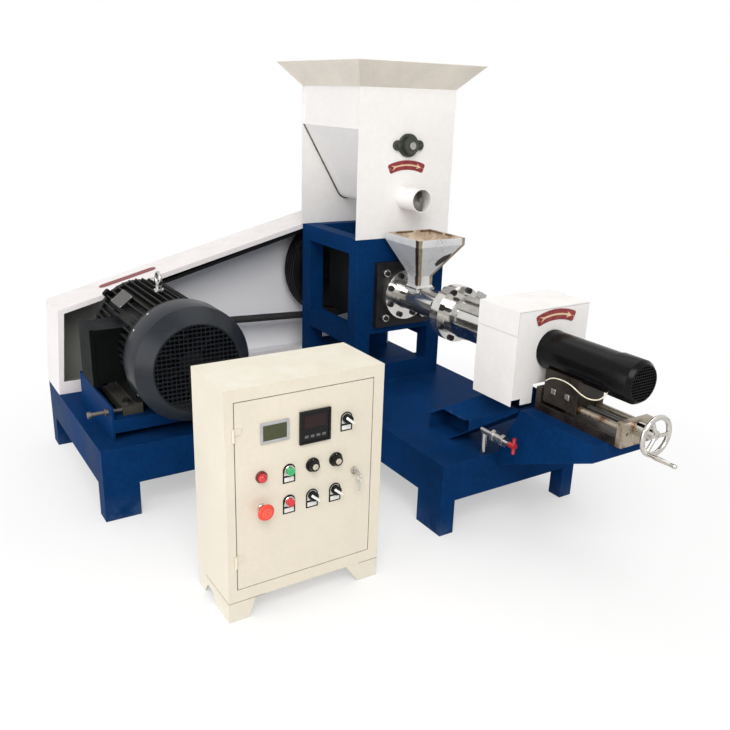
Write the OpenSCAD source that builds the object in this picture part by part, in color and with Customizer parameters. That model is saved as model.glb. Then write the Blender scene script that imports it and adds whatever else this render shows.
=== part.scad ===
// Fish feed extruder on a welded table, with its belt drive, feed bin,
// pellet cutter on a slide, and a control cabinet that stands beside it.
// Millimetres. The model is drawn about the machine's own datum: the front
// plane of the bin tower is X = 0, the screw axis is Y = 0, the floor is Z = 0.
// place() then moves it so that the origin is the centre of its footprint.

/* [Table] */
// Length of the table along the screw
table_l = 1408; // [1300:10:1700]
// Distance from the tower's front plane to the table's front edge
table_front = 768; // [720:4:840]
// Distance from the screw axis to the table's near edge
table_near = 338; // [300:2:360]
// Distance from the screw axis to the table's far edge
table_far = 280; // [268:2:340]
// Height of the table top
table_h = 260; // [220:5:320]
// Height of the table's apron
apron_h = 138; // [100:2:160]
// Length of a table leg along the screw
leg_l = 133; // [90:1:150]
// Width of a table leg across the screw
leg_w = 56; // [40:1:70]
// Length of a leg on the table's far side along the screw
far_leg_l = 56; // [40:1:150]

/* [Motor base] */
// Reach of the motor base beyond the table's near edge
mbase_w = 936; // [900:4:1000]
// Length of the motor base along the screw
mbase_l = 778; // [760:2:860]
// Length of a motor base leg along the screw
mleg_l = 68; // [50:1:90]
// Width of a motor base leg across the screw
mleg_w = 122; // [80:1:140]

/* [Tower] */
// Depth of the tower along the screw
tower_d = 456; // [440:2:500]
// Width of the tower across the screw
tower_w = 422; // [412:2:460]
// Height of the tower above the table
tower_h = 606; // [596:2:660]
// Width of a tower post
post = 66; // [50:1:72]
// Height of the tower's top beams
top_beam_h = 64; // [50:1:70]

/* [Screw] */
// Height of the screw axis above the table
axis_up = 380; // [372:1:400]
// Bore radius of the barrels
bore_r = 41; // [36:0.5:44]
// Outer radius of the feed barrel
feed_r = 54; // [50:0.5:60]
// Outer radius of the jacketed second barrel
jacket_r = 76; // [68:1:80]
// Length of the feed barrel with its flanges
feed_l = 337; // [320:1:345]
// Length of the second barrel with its flanges
comp_l = 342; // [330:1:350]
// Number of turns of the screw's flight
screw_turns = 9; // [6:1:12]

/* [Bin] */
// Width of the bin across the screw
bin_w = 446; // [430:2:470]
// Depth of the bin along the screw
bin_d = 446; // [436:2:452]
// Height of the bin's front plate
bin_h = 562; // [550:2:600]
// Height of the flared rim
rim_h = 89; // [60:1:110]
// Flare of the rim along the screw
rim_out_x = 96; // [60:1:110]
// Flare of the rim across the screw
rim_out_y = 67; // [50:1:80]
// Height of the feed auger's axis above the tower
auger_up = 156; // [140:1:170]
// Height of the agitator's axis above the tower
agitator_up = 354; // [330:1:380]

/* [Belt guard] */
// Depth of the belt guard
guard_d = 200; // [190:1:230]
// Height of the guard's outer end above the table
guard_end_h = 334; // [310:2:380]
// Slope of the guard's top
guard_slope_share = 0.259; // [0.22:0.001:0.28]
// Radius of the large pulley
pulley_r = 228; // [210:1:236]
// Radius of the motor pulley
small_pulley_r = 79; // [70:1:90]

/* [Main motor] */
// Distance from the screw axis to the motor axis
motor_off = 965; // [945:1:985]
// Height of the motor's axis above its feet
motor_shaft_h = 200; // [196:1:212]
// Outer radius over the motor's fins
fin_r = 178; // [172:1:190]
// Outer radius of the fan cowl
cowl_r = 199; // [185:1:200]
// Number of cooling fins round the motor
fins = 44; // [24:1:48]
// Pitch of the squares in the cowl's grille
grille_pitch = 20; // [18:1:30]

/* [Cutter] */
// Length of the cutter cover
cover_l = 189; // [180:1:195]
// Width of the cutter cover
cover_w = 308; // [280:2:320]
// Height of the cutter cover
cover_h = 315; // [305:1:325]
// Radius of the cutter motor
cutter_r = 65; // [60:0.5:66]
// Length of the cutter motor with its cowl
cutter_l = 368; // [350:2:380]
// Number of knife blades
blades = 3; // [2:1:6]
// Travel of the cutter along its slide
slide_travel = 140; // [80:5:150]
// Radius of the handwheel
wheel_r = 65; // [50:1:68]

/* [Cabinet] */
// Depth of the cabinet along the screw
cab_d = 225; // [200:5:260]
// Width of the cabinet across the screw
cab_w = 485; // [470:5:520]
// Height of the cabinet's body without its feet
cab_h = 627; // [615:5:700]
// Height of the cabinet's feet
cab_foot_h = 60; // [40:1:80]

/* [Hidden] */
$fn = 64;
hull_fn = 32;
// One overrun serves every cut
over = 1;
// A stud stands out of its nut to this share of the nut's height
stud_share = 1.5;
// How far a straight side starts inside the arc that it runs on from
tangent_in = 0.1;
// Radial clearance of a running fit
fit = 0.05;
// Clearance between pieces that pass each other
gap = 0.3;

// Table, and the screw's axis above it
axis_z = table_h + axis_up;
table_back = table_front - table_l;
top_t = 8;
apron_t = 6;
foot_t = 8;

// Motor base, level with the table
mbase_back = table_back;
mbase_front = mbase_back + mbase_l;
mbase_near = -table_near - mbase_w;

// Tower: its front plate covers the posts' upper part
tower_z = table_h + tower_h;
tower_y = tower_w / 2;
front_t = 8;
front_plate_h = 388;
front_sill_h = 80;
side_beam_h = 72;
side_beam_up = 165;
side_beam_z = table_h + side_beam_up;
rail_w = 60;

// Bearing plate on the tower, and the housing behind it
bplate_s = 264;
bplate_t = 25;
bplate_bolt_off = 92;
bplate_bore_gap = 2;
shaft_r = 35;
housing_nose_r = 118;
housing_nose_l = 70;
housing_l = 300;
housing_w = 236;
housing_h = 262;
housing_cap_r = 84;
housing_cap_l = 34;
housing_bolt_r = 7;
housing_bolt_h = 8;

// Barrels
barrel_x = bplate_t;
rear_flange_r = 102;
rear_flange_t = 20;
mid_flange_r = 105;
flange_t = 22;
feed_x1 = barrel_x + feed_l;
comp_x1 = feed_x1 + comp_l;
nose_flange_r = 86;
inlet_slot_l = 64;
inlet_slot_w = 56;
inlet_x = 127;
screw_gap = 0.6;
screw_core_r = 26;
flight_t = 9;
screw_slices = 14;
core_sides = 9;
die_r = 80;
die_t = 24;
die_holes = 20;
die_hole_r = 4;
die_ring_r = 27;
die_x1 = comp_x1 + die_t;
band_t = 5;
band_w = 22;
band_off = 48;
strip_w = 26;
strip_t = 12;
rail_angles = [20, 48];
strip_angle = 112;
lug_angle = -30;
lug_w = 30;
lug_h = 26;
bolt_r = 7;
bolt_head_r = 12;
bolt_head_h = 9;
flange_bolts = 8;
plate_bolt_r = 9;
plate_bolt_head_r = 15;
plate_bolt_head_h = 12;

// Inlet hopper on the feed barrel
hop_l = 254;
hop_w = 250;
hop_band = 30;
hop_up = 260;
hop_top = axis_z + hop_up;
hop_t = 3;
neck_s = 84;
neck_top = axis_z + feed_r + 31;

// Bin
bin_t = 3;
bin_z = tower_z;
bin_top = bin_z + bin_h;
auger_z = tower_z + auger_up;
agitator_z = tower_z + agitator_up;
bin_inset = 8;
knee_up = 412;
trough_r = 52;
auger_r = 40;
auger_core_r = 13;
// The drive shaft is thinner than the core, and runs into it this far
shaft_share = 0.85;
auger_lap = 20;
auger_flight_t = 5;
auger_turns = 7;
tube_r = 44.5;
tube_t = 3;
tube_out = 113;
seat_r = 18;
agitator_r = 14;
agitator_out = 39;
paddles = 6;
paddle_l = 120;
paddle_r = 7;
flb_r = 44;
flb_ear_r = 19;
flb_ear_off = 50;
flb_base_t = 12;
flb_boss_r = 32;
flb_out = 33;
flb_bolt_r = 8;
flb_bolt_h = 8;

// Feed gearmotor and chain behind the bin
gear_l = 100;
gear_w = 120;
gear_h = 136;
gear_motor_r = 48;
gear_motor_l = 190;
gear_cap_t = 8;
sprocket_r = 40;
big_sprocket_r = 62;
sprocket_t = 9;
sprocket_gap = 16;
chain_t = 10;
chain_w = 16;

// Belt guard: a tray that opens toward the motor
guard_t = 3;
guard_back = -tower_d - guard_d;
guard_lean = 23;
guard_peak_y = 90;
guard_far = 262;
guard_far_drop = 200;
guard_lip_top = 20;
guard_lip_end = 22;
guard_lip_low = 50;
guard_z = table_h;
guard_near = mbase_near;
guard_end_z = guard_z + guard_end_h;
guard_peak_z = guard_end_z + guard_slope_share * (guard_peak_y - guard_near - guard_lean);
guard_far_z = guard_peak_z - guard_far_drop;

// Pulleys and belts
pulley_w = 80;
pulley_front_gap = 60;
pulley_x1 = -tower_d - pulley_front_gap;
pulley_x0 = pulley_x1 - pulley_w;
belts = 4;
belt_pitch = 19;
belt_w = 14;
belt_h = 13;
groove_d = 14;
rim_t = 24;
web_t = 16;
hub_r = 62;
web_hole_r = 42;
web_holes = 5;
shaft_end = 12;

// Main motor, axis along X
motor_y = -motor_off;
rail_h = 75;
rail_z = table_h + rail_h;
motor_z = rail_z + motor_shaft_h;
core_r = 156;
fin_t = 5;
motor_front = 239;
cowl_l = 150;
cowl_t = 2.5;
cowl_cone_l = 42;
grille_r = 149;
grille_bar = 4;
grille_t = 3;
cowl_x0 = motor_front - cowl_l;
stator_x1 = cowl_x0 - 18;
stator_l = 432;
stator_x0 = stator_x1 - stator_l;
shield_r = 168;
shield_t = 26;
shield_boss_r = 78;
shield_boss_t = 18;
motor_shaft_r = 27.5;
foot_hole_off = 167;
foot_w = 70;
foot_h = 30;
foot_web_t = 24;
// The webs end this far under the shaft, between two fins
web_down = 90;
foot_arc = 14;
box_arc = 46;
foot_front = 45;
foot_back = -325;
foot_bolt_x_front = 12;
foot_bolt_x_back = -293;
foot_bolt_r = 10;
foot_bolt_head_r = 16;
foot_bolt_head_h = 13;
fan_r = 128;
fan_t = 38;
fan_blades = 7;
fan_blade_t = 4;
fan_gap = 34;
fan_hub_r = 40;
box_l = 143;
box_d = 270;
box_h = 194;
box_x0 = -200;
box_x1 = box_x0 + box_l;
box_up = 89;
box_z0 = rail_z + box_up;
box_lid_t = 14;
box_lid_over = 4;
box_gland_r = 22;
box_gland_l = 26;
box_gland_in = 33;
eye_x = -128;
eye_r = 23;
eye_wire_r = 5.5;
eye_boss_r = 11;
eye_boss_h = 22;
eye_pad_r = 18;
eye_pad_h = 8;

// Motor rail frame on the motor base
rail_near = 1214;
rail_far = 716;
rail_x0 = -346;
rail_x1 = 75;
rail_beam_w = 84;
rail_beam_h = 46;
rail_plate_t = 8;
rail_plate_up = 48;
tension_r = 7;
tension_out = 68;
tension_up = 19;
tension_nut_r = 12;
tension_nut_t = 11;
tension_x = 32;

// Slide under the cutter
slide_up = 190;
slide_z = table_h + slide_up;
bracket_y = 115;
bracket_t = 8;
bracket_tip = 1177;
bracket_tip_h = 56;
bracket_heel_x = 790;
bracket_heel_down = 35;
bracket_heel_z = table_h - bracket_heel_down;
bracket_back = 862;
slide_w = 126;
slide_x0 = 872;
slide_spare = 23;
slide_gap = 2;
slide_floor_t = 12;
slide_wall_t = 6;
slide_wall_h = 26;
end_block_t = 22;
end_block_h = 66;
lead_up = 53;
screw_z = slide_z + lead_up;
way_r = 10;
way_y = 42;
lead_r = 9;
end_hole_r = 5;
end_hole_z = 12;
saddle_x0 = 901;
saddle_l = 140;
slide_x1 = saddle_x0 + saddle_l + slide_travel + slide_spare + end_block_t;
saddle_down = 42;
saddle_top = axis_z - saddle_down;
saddle_w = 120;
saddle_up = 38;
saddle_low = slide_z + saddle_up;
nut_r = 9;
nut_t = 8;

// Cutter
cover_x0 = 667;
cover_x1 = cover_x0 + cover_l;
cover_down = 175;
cover_z0 = axis_z - cover_down;
cover_t = 3;
cover_z1 = cover_z0 + cover_h;
cover_y = cover_w / 2;
lid_skirt = 80;
lid_gap = 1;
notch_w = 40;
notch_h = 22;
barrel_hole_r = 100;
cutter_shaft_r = 12;
cutter_flange_r = 66;
cutter_flange_t = 12;
ccowl_l = 92;
ccowl_r = 68;
cutter_x0 = cover_x1;
cutter_x1 = cutter_x0 + cutter_l;
ccowl_x0 = cutter_x1 - ccowl_l;
cg_pitch = 14;
cg_bar = 3;
cg_rim = 8;
knife_gap = 0.8;
knife_t = 12;
knife_hub_r = 28;
knife_hub_l = 30;
knife_r = 62;
knife_w = 22;
cfan_r = 48;
cfan_t = 16;
cfan_gap = 22;
cfan_blades = 6;
cfan_blade_t = 3;
hinge_r = 6;
hinge_pin_r = 2.5;
hinge_l = 40;
hinge_inset = 24;

// Handwheel
wheel_x = 1265;
wheel_rim_r = 8;
wheel_hub_r = 17;
wheel_hub_l = 44;
wheel_dish = 26;
spokes = 3;
spoke_r = 6;
collar_r = 22;
collar_l = 34;
grip_r = 8;
grip_l = 94;
grip_pin_r = 4;
grip_angle = 236;
// The handle's outline, as shares of its length and radius
grip_shares = [[0.3, 1], [0.8, 0.75], [0.95, 0.9], [1, 0.6]];
grip_foot_share = 0.6;
crank_end = wheel_x + wheel_dish + wheel_rim_r + grip_l;

// Drain pipe and its valve
drain_y = 154;
drain_up = 81;
drain_z = table_h + drain_up;
drain_r = 11;
drain_x0 = 732;
valve_x0 = 786;
valve_x1 = 846;
valve_r = 17;
valve_hex_r = 21;
valve_hex_l = 14;
stem_r = 5;
stem_x1 = 880;
handle_x0 = 868;
handle_x1 = 893;
handle_hub_r = 10;
handle_bar_l = 54;
handle_bar_r = 6;

// Discharge chute from under the cover to the table top
chute_t = 4;
chute_down = 200;
chute_top = axis_z - chute_down;
chute_x0 = 672;
chute_x1 = 836;
chute_y = 100;
chute_lip_x0 = 484;
chute_lip_x1 = 602;
chute_lip_near = 190;
chute_lip_far = 96;
chute_slab = 10;
chute_lip_h = 60;

// Cabinet
cab_x1 = 847;
cab_x0 = cab_x1 - cab_d;
cab_y0 = -1129;
cab_y1 = cab_y0 + cab_w;
cab_t = 3;
cab_z0 = cab_foot_h;
cab_z1 = cab_z0 + cab_h;
door_side = 28;
door_far_side = 36;
door_low = 40;
door_high = 37;
door_gap = 2.5;
door_pan = 18;
door_skin = 3;
door_y0 = cab_y0 + door_side;
door_y1 = cab_y1 - door_far_side;
door_z0 = cab_z0 + door_low;
door_z1 = cab_z1 - door_high;
khinge_r = 4;
khinge_pin_r = 2;
khinge_l = 18;
khinge_off = 5;
khinge_inset = 70;
foot_sheet = 3;
cab_foot_low = 67;
cab_foot_high = 110;
near_foot_low = 61;
near_foot_high = 81;
side_notch_h = 33;
side_notch_low = [47, 126];
side_notch_high = [68, 102];
cab_plate_off = 30;
cab_plate_t = 4;
cab_plate_inset = 40;
cab_gland_r = 14;
cab_gland_l = 18;
cab_gland_side = 70;

// Door devices: two rows and four columns, and the upper instruments
col_1 = -1028;
col_2 = -945;
col_3 = -873;
col_4 = -799;
row_1 = 428;
row_2 = 334;
upper_y = -766;
upper_z = 546;
lock_y = -737;
lock_z = 379;
bezel_h = 7;
cap_r = 11;
cap_h = 12;
press_travel = 3;
cap_lift = press_travel + over;
mushroom_r = 24;
mushroom_h = 12;
// The mushroom head's outline, as shares of its height and radius
mushroom_shares = [[0, 0.8], [0.35, 1], [0.85, 0.86], [1, 0.55]];
mushroom_neck_r = 9;
mushroom_lift = 17;
mushroom_travel = 5;
legend_w = 38;
legend_h = 57;
legend_t = 1.5;
legend_step = 15;
lamp_r = 17;
lamp_h = 22;
lcd_y0 = -1030;
lcd_w = 84;
lcd_z0 = 523;
lcd_h = 58;
lcd_t = 6;
ctl_y0 = -915;
ctl_s = 96;
ctl_z0 = 496;
ctl_t = 8;
ctl_face_inset = 7;
knob_r = 15.5;
knob_h = 20;
knob_skirt_r = 21;
knob_skirt_h = 4;
knob_cap_r = 8;
knob_cap_h = 1.5;
mark_w = 2;
pin_l = 9;
sel_r = 12;
sel_h = 18;
sel_bar_w = 7;
sel_bar_h = 9;
lock_r = 11;
lock_h = 8;
key_w = 16;
key_t = 2;
key_l = 26;
pin_r = 4;

// Cutter wire, as shares of the cutter motor's length and radius
wire_r = 2;
wire_sides = 8;
wire_route = [
  [0.149, -0.923, -1.231], [0.149, -1.015, -1.231], [0.174, -1.092, -1.138], [0.228, -1.108, -0.954],
  [0.296, -1.108, -0.862], [0.378, -1.108, -0.846], [0.459, -1.108, -0.923], [0.541, -1.108, -1.092],
  [0.622, -1.092, -1.2], [0.696, -1.046, -1.169], [0.745, -0.985, -1.046], [0.772, -0.892, -0.862],
  [0.777, -0.769, -0.708]
];
wire_pts = [for (p = wire_route) [cutter_x0 + p[0] * cutter_l, p[1] * cutter_r, axis_z + p[2] * cutter_r]];

// Footprint and origin
foot_x = (guard_back + crank_end) / 2;
foot_y = (-rail_near - tension_out + bin_w / 2 + rim_out_y) / 2;

module place() {
  translate([-foot_x, -foot_y, 0]) children();
}

// A box between two corners
module span(a, b) {
  translate(a) cube(b - a);
}

// A 2D outline in (Y, Z) drawn out along X
module along_x(x0, x1) {
  translate([x0, 0, 0]) rotate([90, 0, 90]) linear_extrude(height = x1 - x0) children();
}

// A 2D outline in (X, Z) drawn out along Y, from y0 to y1
module along_y(y0, y1) {
  translate([0, y1, 0]) rotate([90, 0, 0]) linear_extrude(height = y1 - y0) children();
}

// A rod along X
module rod_x(x0, x1, r, y = 0, z = 0, sides = $fn) {
  translate([x0, y, z]) rotate([0, 90, 0]) cylinder(h = x1 - x0, r = r, $fn = sides);
}

// A rod along Y
module rod_y(y0, y1, r, x = 0, z = 0, sides = $fn) {
  translate([x, y1, z]) rotate([90, 0, 0]) cylinder(h = y1 - y0, r = r, $fn = sides);
}

// A rod along Z
module rod_z(z0, z1, r, x = 0, y = 0, sides = $fn) {
  translate([x, y, z0]) cylinder(h = z1 - z0, r = r, $fn = sides);
}

// A ring along X
module ring_x(x0, x1, r, bore, y = 0, z = 0) {
  difference() {
    rod_x(x0, x1, r, y, z);
    rod_x(x0 - over, x1 + over, bore, y, z);
  }
}

// Copies round an X axis
module round_x(n, r, y = 0, z = 0, start = 0) {
  for (i = [0 : n - 1]) {
    translate([0, y, z]) rotate([start + i * 360 / n, 0, 0]) translate([0, r, 0]) children();
  }
}

// A hollow leg with a closed foot
module leg(x0, y0, l, w, h) {
  difference() {
    span([x0, y0, 0], [x0 + l, y0 + w, h]);
    span([x0 + apron_t, y0 + apron_t, foot_t], [x0 + l - apron_t, y0 + w - apron_t, h + over]);
  }
}

// A table: top plate, apron and four legs
module table(x0, x1, y0, y1, l, w, far_l) {
  under = table_h - top_t;
  difference() {
    span([x0, y0, table_h - apron_h], [x1, y1, table_h]);
    span([x0 + apron_t, y0 + apron_t, table_h - apron_h - over], [x1 - apron_t, y1 - apron_t, under]);
  }
  for (x = [x0, x1 - l]) leg(x, y0, l, w, under);
  for (x = [x0, x1 - far_l]) leg(x, y1 - w, far_l, w, under);
}

module main_frame() {
  color("#12375a")
  table(table_back, table_front, -table_near, table_far, leg_l, leg_w, far_leg_l);
}

module motor_base() {
  color("#12375a")
  table(mbase_back, mbase_front, mbase_near, -table_near, mleg_l, mleg_w, mleg_l);
}

module tower_frame() {
  color("#143a63") {
    for (x = [-tower_d, -post], y = [-tower_y, tower_y - post]) {
      span([x, y, table_h], [x + post, y + post, tower_z]);
    }
    // Upper front plate between the posts, with the bore for the shaft
    difference() {
      span([-front_t, -tower_y + post, tower_z - front_plate_h], [0, tower_y - post, tower_z]);
      rod_x(-front_t - over, over, shaft_r + bplate_bore_gap, 0, axis_z);
    }
    // Front and rear sills
    for (x = [-post, -tower_d]) {
      span([x, -tower_y + post, table_h], [x + post, tower_y - post, table_h + front_sill_h]);
    }
    // Rear top beam
    span([-tower_d, -tower_y + post, tower_z - top_beam_h], [-tower_d + rail_w, tower_y - post, tower_z]);
    // Side beams
    for (s = [0, 1]) mirror([0, s, 0]) {
      span([-tower_d + post, -tower_y, tower_z - top_beam_h], [-post, -tower_y + rail_w, tower_z]);
      span([-tower_d + post, -tower_y, side_beam_z], [-post, -tower_y + rail_w, side_beam_z + side_beam_h]);
    }
  }
}

module slide_bracket() {
  color("#123c6b") {
    for (s = [0, 1]) mirror([0, s, 0]) along_y(-bracket_y, -bracket_y + bracket_t) polygon([
      [table_front, table_h], [bracket_back, slide_z], [bracket_tip, slide_z],
      [bracket_tip, slide_z - bracket_tip_h], [bracket_heel_x, bracket_heel_z],
      [table_front, bracket_heel_z]
    ]);
    // Top plate, tip plate and the wall behind the slide
    span([bracket_back, -bracket_y + bracket_t, slide_z - bracket_t],
      [bracket_tip, bracket_y - bracket_t, slide_z]);
    span([bracket_tip - bracket_t, -bracket_y + bracket_t, slide_z - bracket_tip_h],
      [bracket_tip, bracket_y - bracket_t, slide_z - bracket_t]);
    span([bracket_back, -bracket_y + bracket_t, bracket_heel_z + bracket_tip_h],
      [bracket_back + bracket_t, bracket_y - bracket_t, slide_z - bracket_t]);
  }
}

module bearing_plate() {
  half = bplate_s / 2;
  color("#1c1d20")
  difference() {
    span([0, -half, axis_z - half], [bplate_t, half, axis_z + half]);
    rod_x(-over, bplate_t + over, shaft_r + bplate_bore_gap, 0, axis_z);
  }
}

module bearing_housing() {
  nose_x0 = -front_t - housing_nose_l;
  box_x0 = nose_x0 - housing_l;
  color("#3a2f2a")
  difference() {
    union() {
      rod_x(nose_x0, -front_t, housing_nose_r, 0, axis_z);
      span([box_x0, -housing_w / 2, axis_z - housing_h / 2],
        [nose_x0, housing_w / 2, axis_z + housing_h / 2]);
      rod_x(box_x0 - housing_cap_l, box_x0, housing_cap_r, 0, axis_z);
      round_x(6, housing_cap_r - housing_bolt_r * 2, 0, axis_z) {
        rod_x(box_x0 - housing_cap_l - housing_bolt_h, box_x0 - housing_cap_l, housing_bolt_r, 0, 0, 6);
      }
    }
    rod_x(box_x0 - housing_cap_l - over, over, shaft_r + fit, 0, axis_z);
  }
}

module feed_barrel() {
  color("#c9ccd0")
  difference() {
    union() {
      rod_x(barrel_x, feed_x1, feed_r, 0, axis_z);
      rod_x(barrel_x, barrel_x + rear_flange_t, rear_flange_r, 0, axis_z);
      rod_x(feed_x1 - flange_t, feed_x1, mid_flange_r, 0, axis_z);
    }
    rod_x(barrel_x - over, feed_x1 + over, bore_r, 0, axis_z);
    span([inlet_x - inlet_slot_l / 2, -inlet_slot_w / 2, axis_z],
      [inlet_x + inlet_slot_l / 2, inlet_slot_w / 2, axis_z + feed_r + over]);
  }
}

module compression_barrel() {
  color("#c4c7cb")
  difference() {
    union() {
      rod_x(feed_x1, comp_x1, jacket_r, 0, axis_z);
      rod_x(feed_x1, feed_x1 + flange_t, mid_flange_r, 0, axis_z);
      rod_x(comp_x1 - flange_t, comp_x1, nose_flange_r, 0, axis_z);
    }
    rod_x(feed_x1 - over, comp_x1 + over, bore_r, 0, axis_z);
  }
}

module barrel_clamps() {
  x0 = feed_x1 + flange_t + band_off;
  x1 = comp_x1 - flange_t - band_off;
  color("#b9bcc2") {
    for (x = [x0, x1 - band_w]) {
      ring_x(x, x + band_w, jacket_r + band_t, jacket_r, 0, axis_z);
      translate([0, 0, axis_z]) rotate([lug_angle, 0, 0]) {
        span([x, -lug_w / 2, jacket_r + band_t], [x + band_w, lug_w / 2, jacket_r + lug_h]);
      }
    }
    // Lengthwise rails and the terminal strip between the bands
    for (a = rail_angles) translate([0, 0, axis_z]) rotate([a, 0, 0]) {
      span([x0 + band_w, -strip_w / 2, jacket_r], [x1 - band_w, strip_w / 2, jacket_r + strip_t]);
    }
    translate([0, 0, axis_z]) rotate([strip_angle, 0, 0]) {
      span([x0 + band_w, -strip_w, jacket_r], [x1 - band_w, strip_w, jacket_r + strip_t / 2]);
    }
  }
}

module barrel_bolts() {
  ring_r = (rear_flange_r + feed_r) / 2 + bolt_r;
  color("#2b2b2e") {
    round_x(flange_bolts, ring_r, 0, axis_z, 22.5) {
      rod_x(barrel_x + rear_flange_t, barrel_x + rear_flange_t + bolt_head_h, bolt_head_r, 0, 0, 6);
    }
    round_x(flange_bolts, mid_flange_r - bolt_head_r, 0, axis_z, 22.5) {
      rod_x(feed_x1 - flange_t - bolt_head_h, feed_x1 - flange_t, bolt_head_r, 0, 0, 6);
      rod_x(feed_x1 + flange_t, feed_x1 + flange_t + bolt_head_h, bolt_head_r, 0, 0, 6);
    }
    for (y = [-1, 1], z = [-1, 1]) {
      translate([0, y * bplate_bolt_off, axis_z + z * bplate_bolt_off]) {
        rod_x(bplate_t, bplate_t + plate_bolt_head_h, plate_bolt_head_r, 0, 0, 6);
        rod_x(bplate_t + plate_bolt_head_h, bplate_t + plate_bolt_head_h * stud_share, plate_bolt_r);
      }
    }
  }
}

module die_plate() {
  color("#a9abae")
  difference() {
    rod_x(comp_x1, die_x1, die_r, 0, axis_z);
    // Pocket that feeds the ring of holes
    rod_x(comp_x1 - over, comp_x1 + die_t / 2, die_ring_r + die_hole_r * 2, 0, axis_z);
    round_x(die_holes, die_ring_r, 0, axis_z) rod_x(comp_x1, die_x1 + over, die_hole_r);
  }
}

// A flight wound on a core, as one twisted profile along X
module screw_form(x0, l, r, core, flight, turns) {
  half_angle = asin(flight / 2 / r);
  core_step = 360 / (core_sides + 1);
  translate([x0, 0, 0]) rotate([0, 90, 0])
  linear_extrude(height = l, twist = -360 * turns, slices = turns * screw_slices, $fn = 12)
  polygon(concat(
    [for (i = [-1, 0, 1]) r * [cos(i * half_angle), sin(i * half_angle)]],
    [for (i = [1 : core_sides]) core * [cos(i * core_step), sin(i * core_step)]]
  ));
}

module extruder_screw() {
  x0 = barrel_x + rear_flange_t;
  color("#8f9195")
  translate([0, 0, axis_z]) {
    screw_form(x0, comp_x1 - screw_gap - x0, bore_r - screw_gap, screw_core_r, flight_t, screw_turns);
  }
}

module main_shaft() {
  x1 = barrel_x + rear_flange_t;
  color("#9a9c9f")
  rod_x(pulley_x0 - shaft_end, x1, shaft_r, 0, axis_z);
}

// A grooved pulley rim
module grooves(r) {
  first = pulley_x0 + (pulley_w - (belts - 1) * belt_pitch) / 2;
  for (i = [0 : belts - 1]) {
    mid = first + i * belt_pitch;
    ring_x(mid - belt_w / 2 - gap, mid + belt_w / 2 + gap, r + over, r - groove_d);
  }
}

module main_pulley() {
  web_x0 = pulley_x0 + (pulley_w - web_t) / 2;
  color("#4a3b33")
  translate([0, 0, axis_z]) difference() {
    union() {
      ring_x(pulley_x0, pulley_x1, pulley_r, pulley_r - groove_d - rim_t);
      rod_x(web_x0, web_x0 + web_t, pulley_r - groove_d - rim_t / 2);
      rod_x(pulley_x0, pulley_x1, hub_r);
    }
    grooves(pulley_r);
    round_x(web_holes, (pulley_r + hub_r) / 2 - rim_t / 2) {
      rod_x(web_x0 - over, web_x0 + web_t + over, web_hole_r);
    }
    rod_x(pulley_x0 - over, pulley_x1 + over, shaft_r);
  }
}

module motor_pulley() {
  color("#3c3c40")
  translate([0, motor_y, motor_z]) difference() {
    rod_x(pulley_x0, pulley_x1, small_pulley_r);
    grooves(small_pulley_r);
    rod_x(pulley_x0 - over, pulley_x1 + over, motor_shaft_r);
  }
}

// The outline that a band has round two circles, in (Y, Z)
module band_outline(c0, r0, c1, r1) {
  d = norm(c1 - c0);
  a = acos((r0 - r1) / d);
  translate(c0) rotate(atan2(c1[1] - c0[1], c1[0] - c0[0])) {
    circle(r = r0);
    translate([d, 0]) circle(r = r1);
    polygon([
      (r0 - tangent_in) * [cos(a), sin(a)], (r0 - tangent_in) * [cos(a), -sin(a)],
      [d, 0] + (r1 - tangent_in) * [cos(a), -sin(a)], [d, 0] + (r1 - tangent_in) * [cos(a), sin(a)]
    ]);
  }
}

// A closed band of one thickness round two circles
module band_loop(x0, x1, c0, r0, c1, r1, t) {
  along_x(x0, x1) difference() {
    band_outline(c0, r0 + t, c1, r1 + t);
    band_outline(c0, r0, c1, r1);
  }
}

module drive_belts() {
  first = pulley_x0 + (pulley_w - (belts - 1) * belt_pitch) / 2;
  seat = gap - groove_d;
  color("#242426")
  for (i = [0 : belts - 1]) {
    mid = first + i * belt_pitch;
    band_loop(mid - belt_w / 2, mid + belt_w / 2,
      [0, axis_z], pulley_r + seat, [motor_y, motor_z], small_pulley_r + seat, belt_h);
  }
}

// The guard's outline in (Y, Z), drawn in by one amount all round
module guard_outline(inset) {
  slope = atan(guard_slope_share);
  drop = inset / cos(slope);
  polygon([
    [guard_near + inset, guard_z + inset],
    [guard_near + guard_lean + inset, guard_end_z - drop + inset * guard_slope_share],
    [guard_peak_y, guard_peak_z - drop],
    [guard_far - inset, guard_far_z - inset],
    [guard_far - inset, guard_z + inset]
  ]);
}

module belt_guard() {
  front = -tower_d;
  color("#e8e8ea")
  difference() {
    along_x(guard_back, front) guard_outline(0);
    along_x(guard_back + guard_t, front - guard_t) guard_outline(guard_t);
    // The open front inside the lips
    along_x(front - guard_t - over, front + over) polygon([
      [guard_near + guard_lip_end, guard_z + guard_lip_low],
      [guard_near + guard_lean + guard_lip_end,
        guard_end_z - guard_lip_top + guard_lip_end * guard_slope_share],
      [guard_peak_y, guard_peak_z - guard_lip_top],
      [guard_far - guard_lip_top, guard_far_z - guard_lip_top],
      [guard_far - guard_lip_top, guard_z + guard_lip_low]
    ]);
  }
}

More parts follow.
